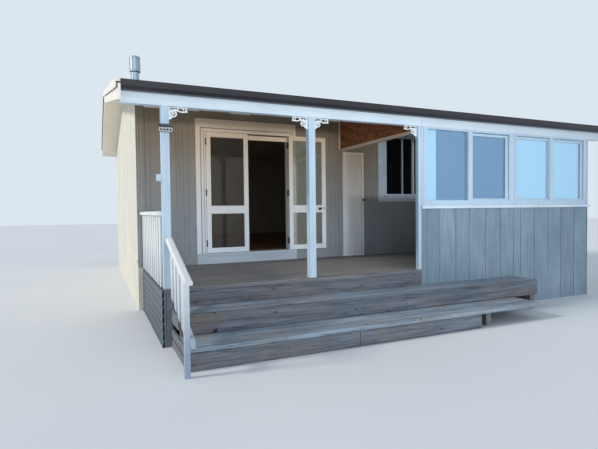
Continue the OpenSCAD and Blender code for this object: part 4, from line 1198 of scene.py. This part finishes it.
def sashes():
    """Sliding sashes inside the four openings, and the flat boards round them."""
    bm = bmesh.new()
    for x, left, right, front in (
        (PANES[0], 16, 14, 44),
        (PANES[1], 10, 62, 16),
        (PANES[2], 26, 16, 16),
        (PANES[3], 6, 63, 16),
    ):
        end = x + PANE_WIDTH
        back = front + 18
        for x0, z0, x1, z1 in (
            (x, PANE_FOOT, end, PANE_FOOT + 26),
            (x, PANE_TOP - 48, end, PANE_TOP - 10),
            (x, PANE_FOOT + 26, x + left, PANE_TOP - 48),
            (end - right, PANE_FOOT + 26, end, PANE_TOP - 48),
        ):
            block(bm, x0, front, z0, x1, back, z1)
    finish_piece("sliding_sash_frames", bm, TRIM, bevel=1.5)
    bm = bmesh.new()
    for x0, z0, x1, z1 in (
        (PORCH_X + 2, SILL, 3693, BEAM_FOOT),
        (3703, SILL, 3778, BEAM_FOOT),
        (3780, SILL, 5376, PANE_FOOT - 3),
        (3780, PANE_TOP + 4, 5376, BEAM_FOOT),
        (5378, SILL, 5490, BEAM_FOOT),
        (5500, SILL, 5545, BEAM_FOOT),
        (5547, SILL, 7142, PANE_FOOT - 3),
        (5547, PANE_TOP + 4, 7142, BEAM_FOOT),
        (7144, SILL, 7222, BEAM_FOOT),
        (7232, SILL, WIDTH, BEAM_FOOT),
    ):
        block(bm, x0, -6, z0, x1, 0, z1)
    for x in (4529, 6297):
        block(bm, x + 14, -6, PANE_FOOT - 3, x + 84, 0, PANE_TOP + 4)
    finish_piece("window_facings", bm, TRIM, bevel=1.5)


def lamp_details():
    """The wall lamp's solar panel on its sloping top, and a milky strip with four lenses."""
    left, right, foot = 56, 210, 1747
    bm = bmesh.new()
    corners = [(left + 6, -14, foot + 88), (left + 6, -62, foot + 58)]
    corners += [(right - 6, -62, foot + 58), (right - 6, -14, foot + 88)]
    prism(bm, corners, (0, -1.2, 2.0))
    finish_piece("lamp_solar_panel", bm, SOLAR)
    bm = bmesh.new()
    corners = [(left + 4, -65, foot + 42), (left + 4, -34, foot + 1)]
    corners += [(right - 4, -34, foot + 1), (right - 4, -65, foot + 42)]
    prism(bm, corners, (0, -1.6, -1.2))
    finish_piece("lamp_light_strip", bm, LAMP_LENS, bevel=0.5)
    bm = bmesh.new()
    slope = Vector((0, -41, -31)).normalized()
    for i in range(4):
        centre = (left + 27 + i * 34, -50.5, foot + 21)
        turned(bm, centre, slope, [(11, 0), (11, 3), (5, 5)], 12)
    finish_piece("lamp_lenses", bm, LENS_BLACK)


door_trim()
leaf_trim()
hinges()
cupboard_trim()
infill_rail()
inner_window_trim()
sun_panes()
sashes()
lamp_details()

# CAD nodes that keep their shape.

dress(TRIM, "left_post", "middle_post", "right_post", "sunporch_windows")
dress(BEAM_TRIM, "front_beam", "rear_fascia", "sunporch_sill")
dress(FRETWORK, "left_bracket", "middle_bracket_left", "middle_bracket_right", "right_bracket")
dress(DOOR_PAINT, "door_casing", "left_door", "right_door", "cupboard_frame", "cupboard_door")
dress(PLINTH_PAINT, "door_plinth", "inner_window_frame")
dress(LINING, "front_ceiling", "rear_ceiling")
dress(INFILL_PAINT, "infill_trim")
dress(BARGE, "left_barge_board", "right_barge_board", "barge_caps")
dress(RAIL, "side_rail", "stair_rail")
dress(SLEEPER, "step_side_boards")
dress(FRAMING, "deck_frame", "front_rafters", "rear_rafters")
dress(FLOORING, "house_floor")
dress(WOVEN_PANEL, "infill_panel")
dress(GUTTER, "front_gutter")
dress(ROOFING, "ridge_cap")
dress(FLUE, "flue")
dress(LAMP_BODY, "porch_lamp")
dress(LEFT_DOOR_GLASS, "left_door_glass")
dress(RIGHT_DOOR_GLASS, "right_door_glass")
dress(DARK_GLASS, "inner_window_glass")

# Floor, light and camera.


def pale_floor():
    """Pale floor that keeps the house's shadow."""
    bm = bmesh.new()
    bmesh.ops.create_grid(bm, x_segments=1, y_segments=1, size=60)
    mesh = bpy.data.meshes.new("pale_floor")
    bm.to_mesh(mesh)
    bm.free()
    made, tree, where = start("pale_floor")
    soft = add(tree, "ShaderNodeTexNoise", {"Vector": where, "Scale": 0.4, "Detail": 2.0})
    tone = add(tree, "ShaderNodeValToRGB", {0: soft}, [(0.3, "#D3D6D8"), (0.7, "#D8DADC")])
    shader = add(tree, "ShaderNodeBsdfPrincipled", {"Base Color": tone, "Roughness": 0.9})
    add(tree, "ShaderNodeOutputMaterial", {"Surface": shader})
    mesh.materials.append(made)
    floor = bpy.data.objects.new("pale_floor", mesh)
    bpy.context.collection.objects.link(floor)


def studio():
    """An even pale surround that lights the house from all round, and its look to the camera,
    in gloss and through glass."""
    world = bpy.data.worlds.new("studio")
    bpy.context.scene.world = world
    world.use_nodes = True
    tree = world.node_tree
    tree.nodes.clear()
    path = add(tree, "ShaderNodeLightPath")
    lit = add(tree, "ShaderNodeBackground", {"Color": "#D4E2F2", "Strength": 0.8})
    seen = add(tree, "ShaderNodeBackground", {"Color": "#DCE6EF", "Strength": 1.0})
    pair = {0: path.outputs["Is Camera Ray"], 1: path.outputs["Is Glossy Ray"]}
    sharp = add(tree, "ShaderNodeMath", pair, operation="MAXIMUM")
    pair = {0: sharp, 1: path.outputs["Is Transmission Ray"]}
    through = add(tree, "ShaderNodeMath", pair, operation="MAXIMUM")
    both = add(tree, "ShaderNodeMixShader", {0: through, 1: lit, 2: seen})
    add(tree, "ShaderNodeOutputWorld", {"Surface": both})


def sun(name, direction, strength, colour, angle):
    """A soft, far lamp that shines along a direction."""
    data = bpy.data.lights.new(name, "SUN")
    data.energy = strength
    data.color = colour
    data.angle = math.radians(angle)
    lamp = bpy.data.objects.new(name, data)
    lamp.rotation_euler = Vector(direction).to_track_quat("-Z", "Y").to_euler()
    bpy.context.collection.objects.link(lamp)


def low_softbox():
    """A wide, low soft lamp far in front, which reaches in under the porch roof."""
    data = bpy.data.lights.new("low_softbox", "AREA")
    data.shape = "RECTANGLE"
    data.size, data.size_y = 8.0, 0.8
    data.energy = 85
    data.spread = math.radians(40)
    data.color = (0.93, 0.97, 1.0)
    lamp = bpy.data.objects.new("low_softbox", data)
    lamp.location = place(2500, -16000, 300)
    lamp.rotation_euler = Vector((0, 1, 0.12)).to_track_quat("-Z", "Y").to_euler()
    lamp.visible_camera = False
    lamp.visible_glossy = False
    bpy.context.collection.objects.link(lamp)


def photo_camera():
    """The photograph's viewpoint, solved from the lines of the house."""
    yaw, pitch, roll = (math.radians(a) for a in (24.044, 1.718, -0.660))
    flat = math.cos(pitch)
    ahead = Vector((math.sin(yaw) * flat, math.cos(yaw) * flat, -math.sin(pitch)))
    level = Vector((math.cos(yaw), -math.sin(yaw), 0))
    upright = level.cross(ahead)
    right = level * math.cos(roll) + upright * math.sin(roll)
    up = upright * math.cos(roll) - level * math.sin(roll)
    data = bpy.data.cameras.new("photo_camera")
    data.sensor_fit = "HORIZONTAL"
    data.sensor_width = 36
    data.lens = data.sensor_width * FOCAL_LENGTH / PHOTO_WIDTH
    camera = bpy.data.objects.new("photo_camera", data)
    turn = Matrix((right, up, -ahead)).transposed().to_4x4()
    eye = place(-611, -5281, 858)
    camera.matrix_world = Matrix.Translation(eye) @ turn
    bpy.context.collection.objects.link(camera)
    bpy.context.scene.camera = camera


pale_floor()
studio()
sun("soft_key", (1.0, -0.1, -0.55), strength=2.15, colour=(1.0, 0.95, 0.87), angle=10)
sun("soft_fill", (0.25, 1.0, -0.06), strength=0.5, colour=(0.93, 0.97, 1.0), angle=50)
low_softbox()
photo_camera()
bpy.context.scene.view_settings.view_transform = "Standard"
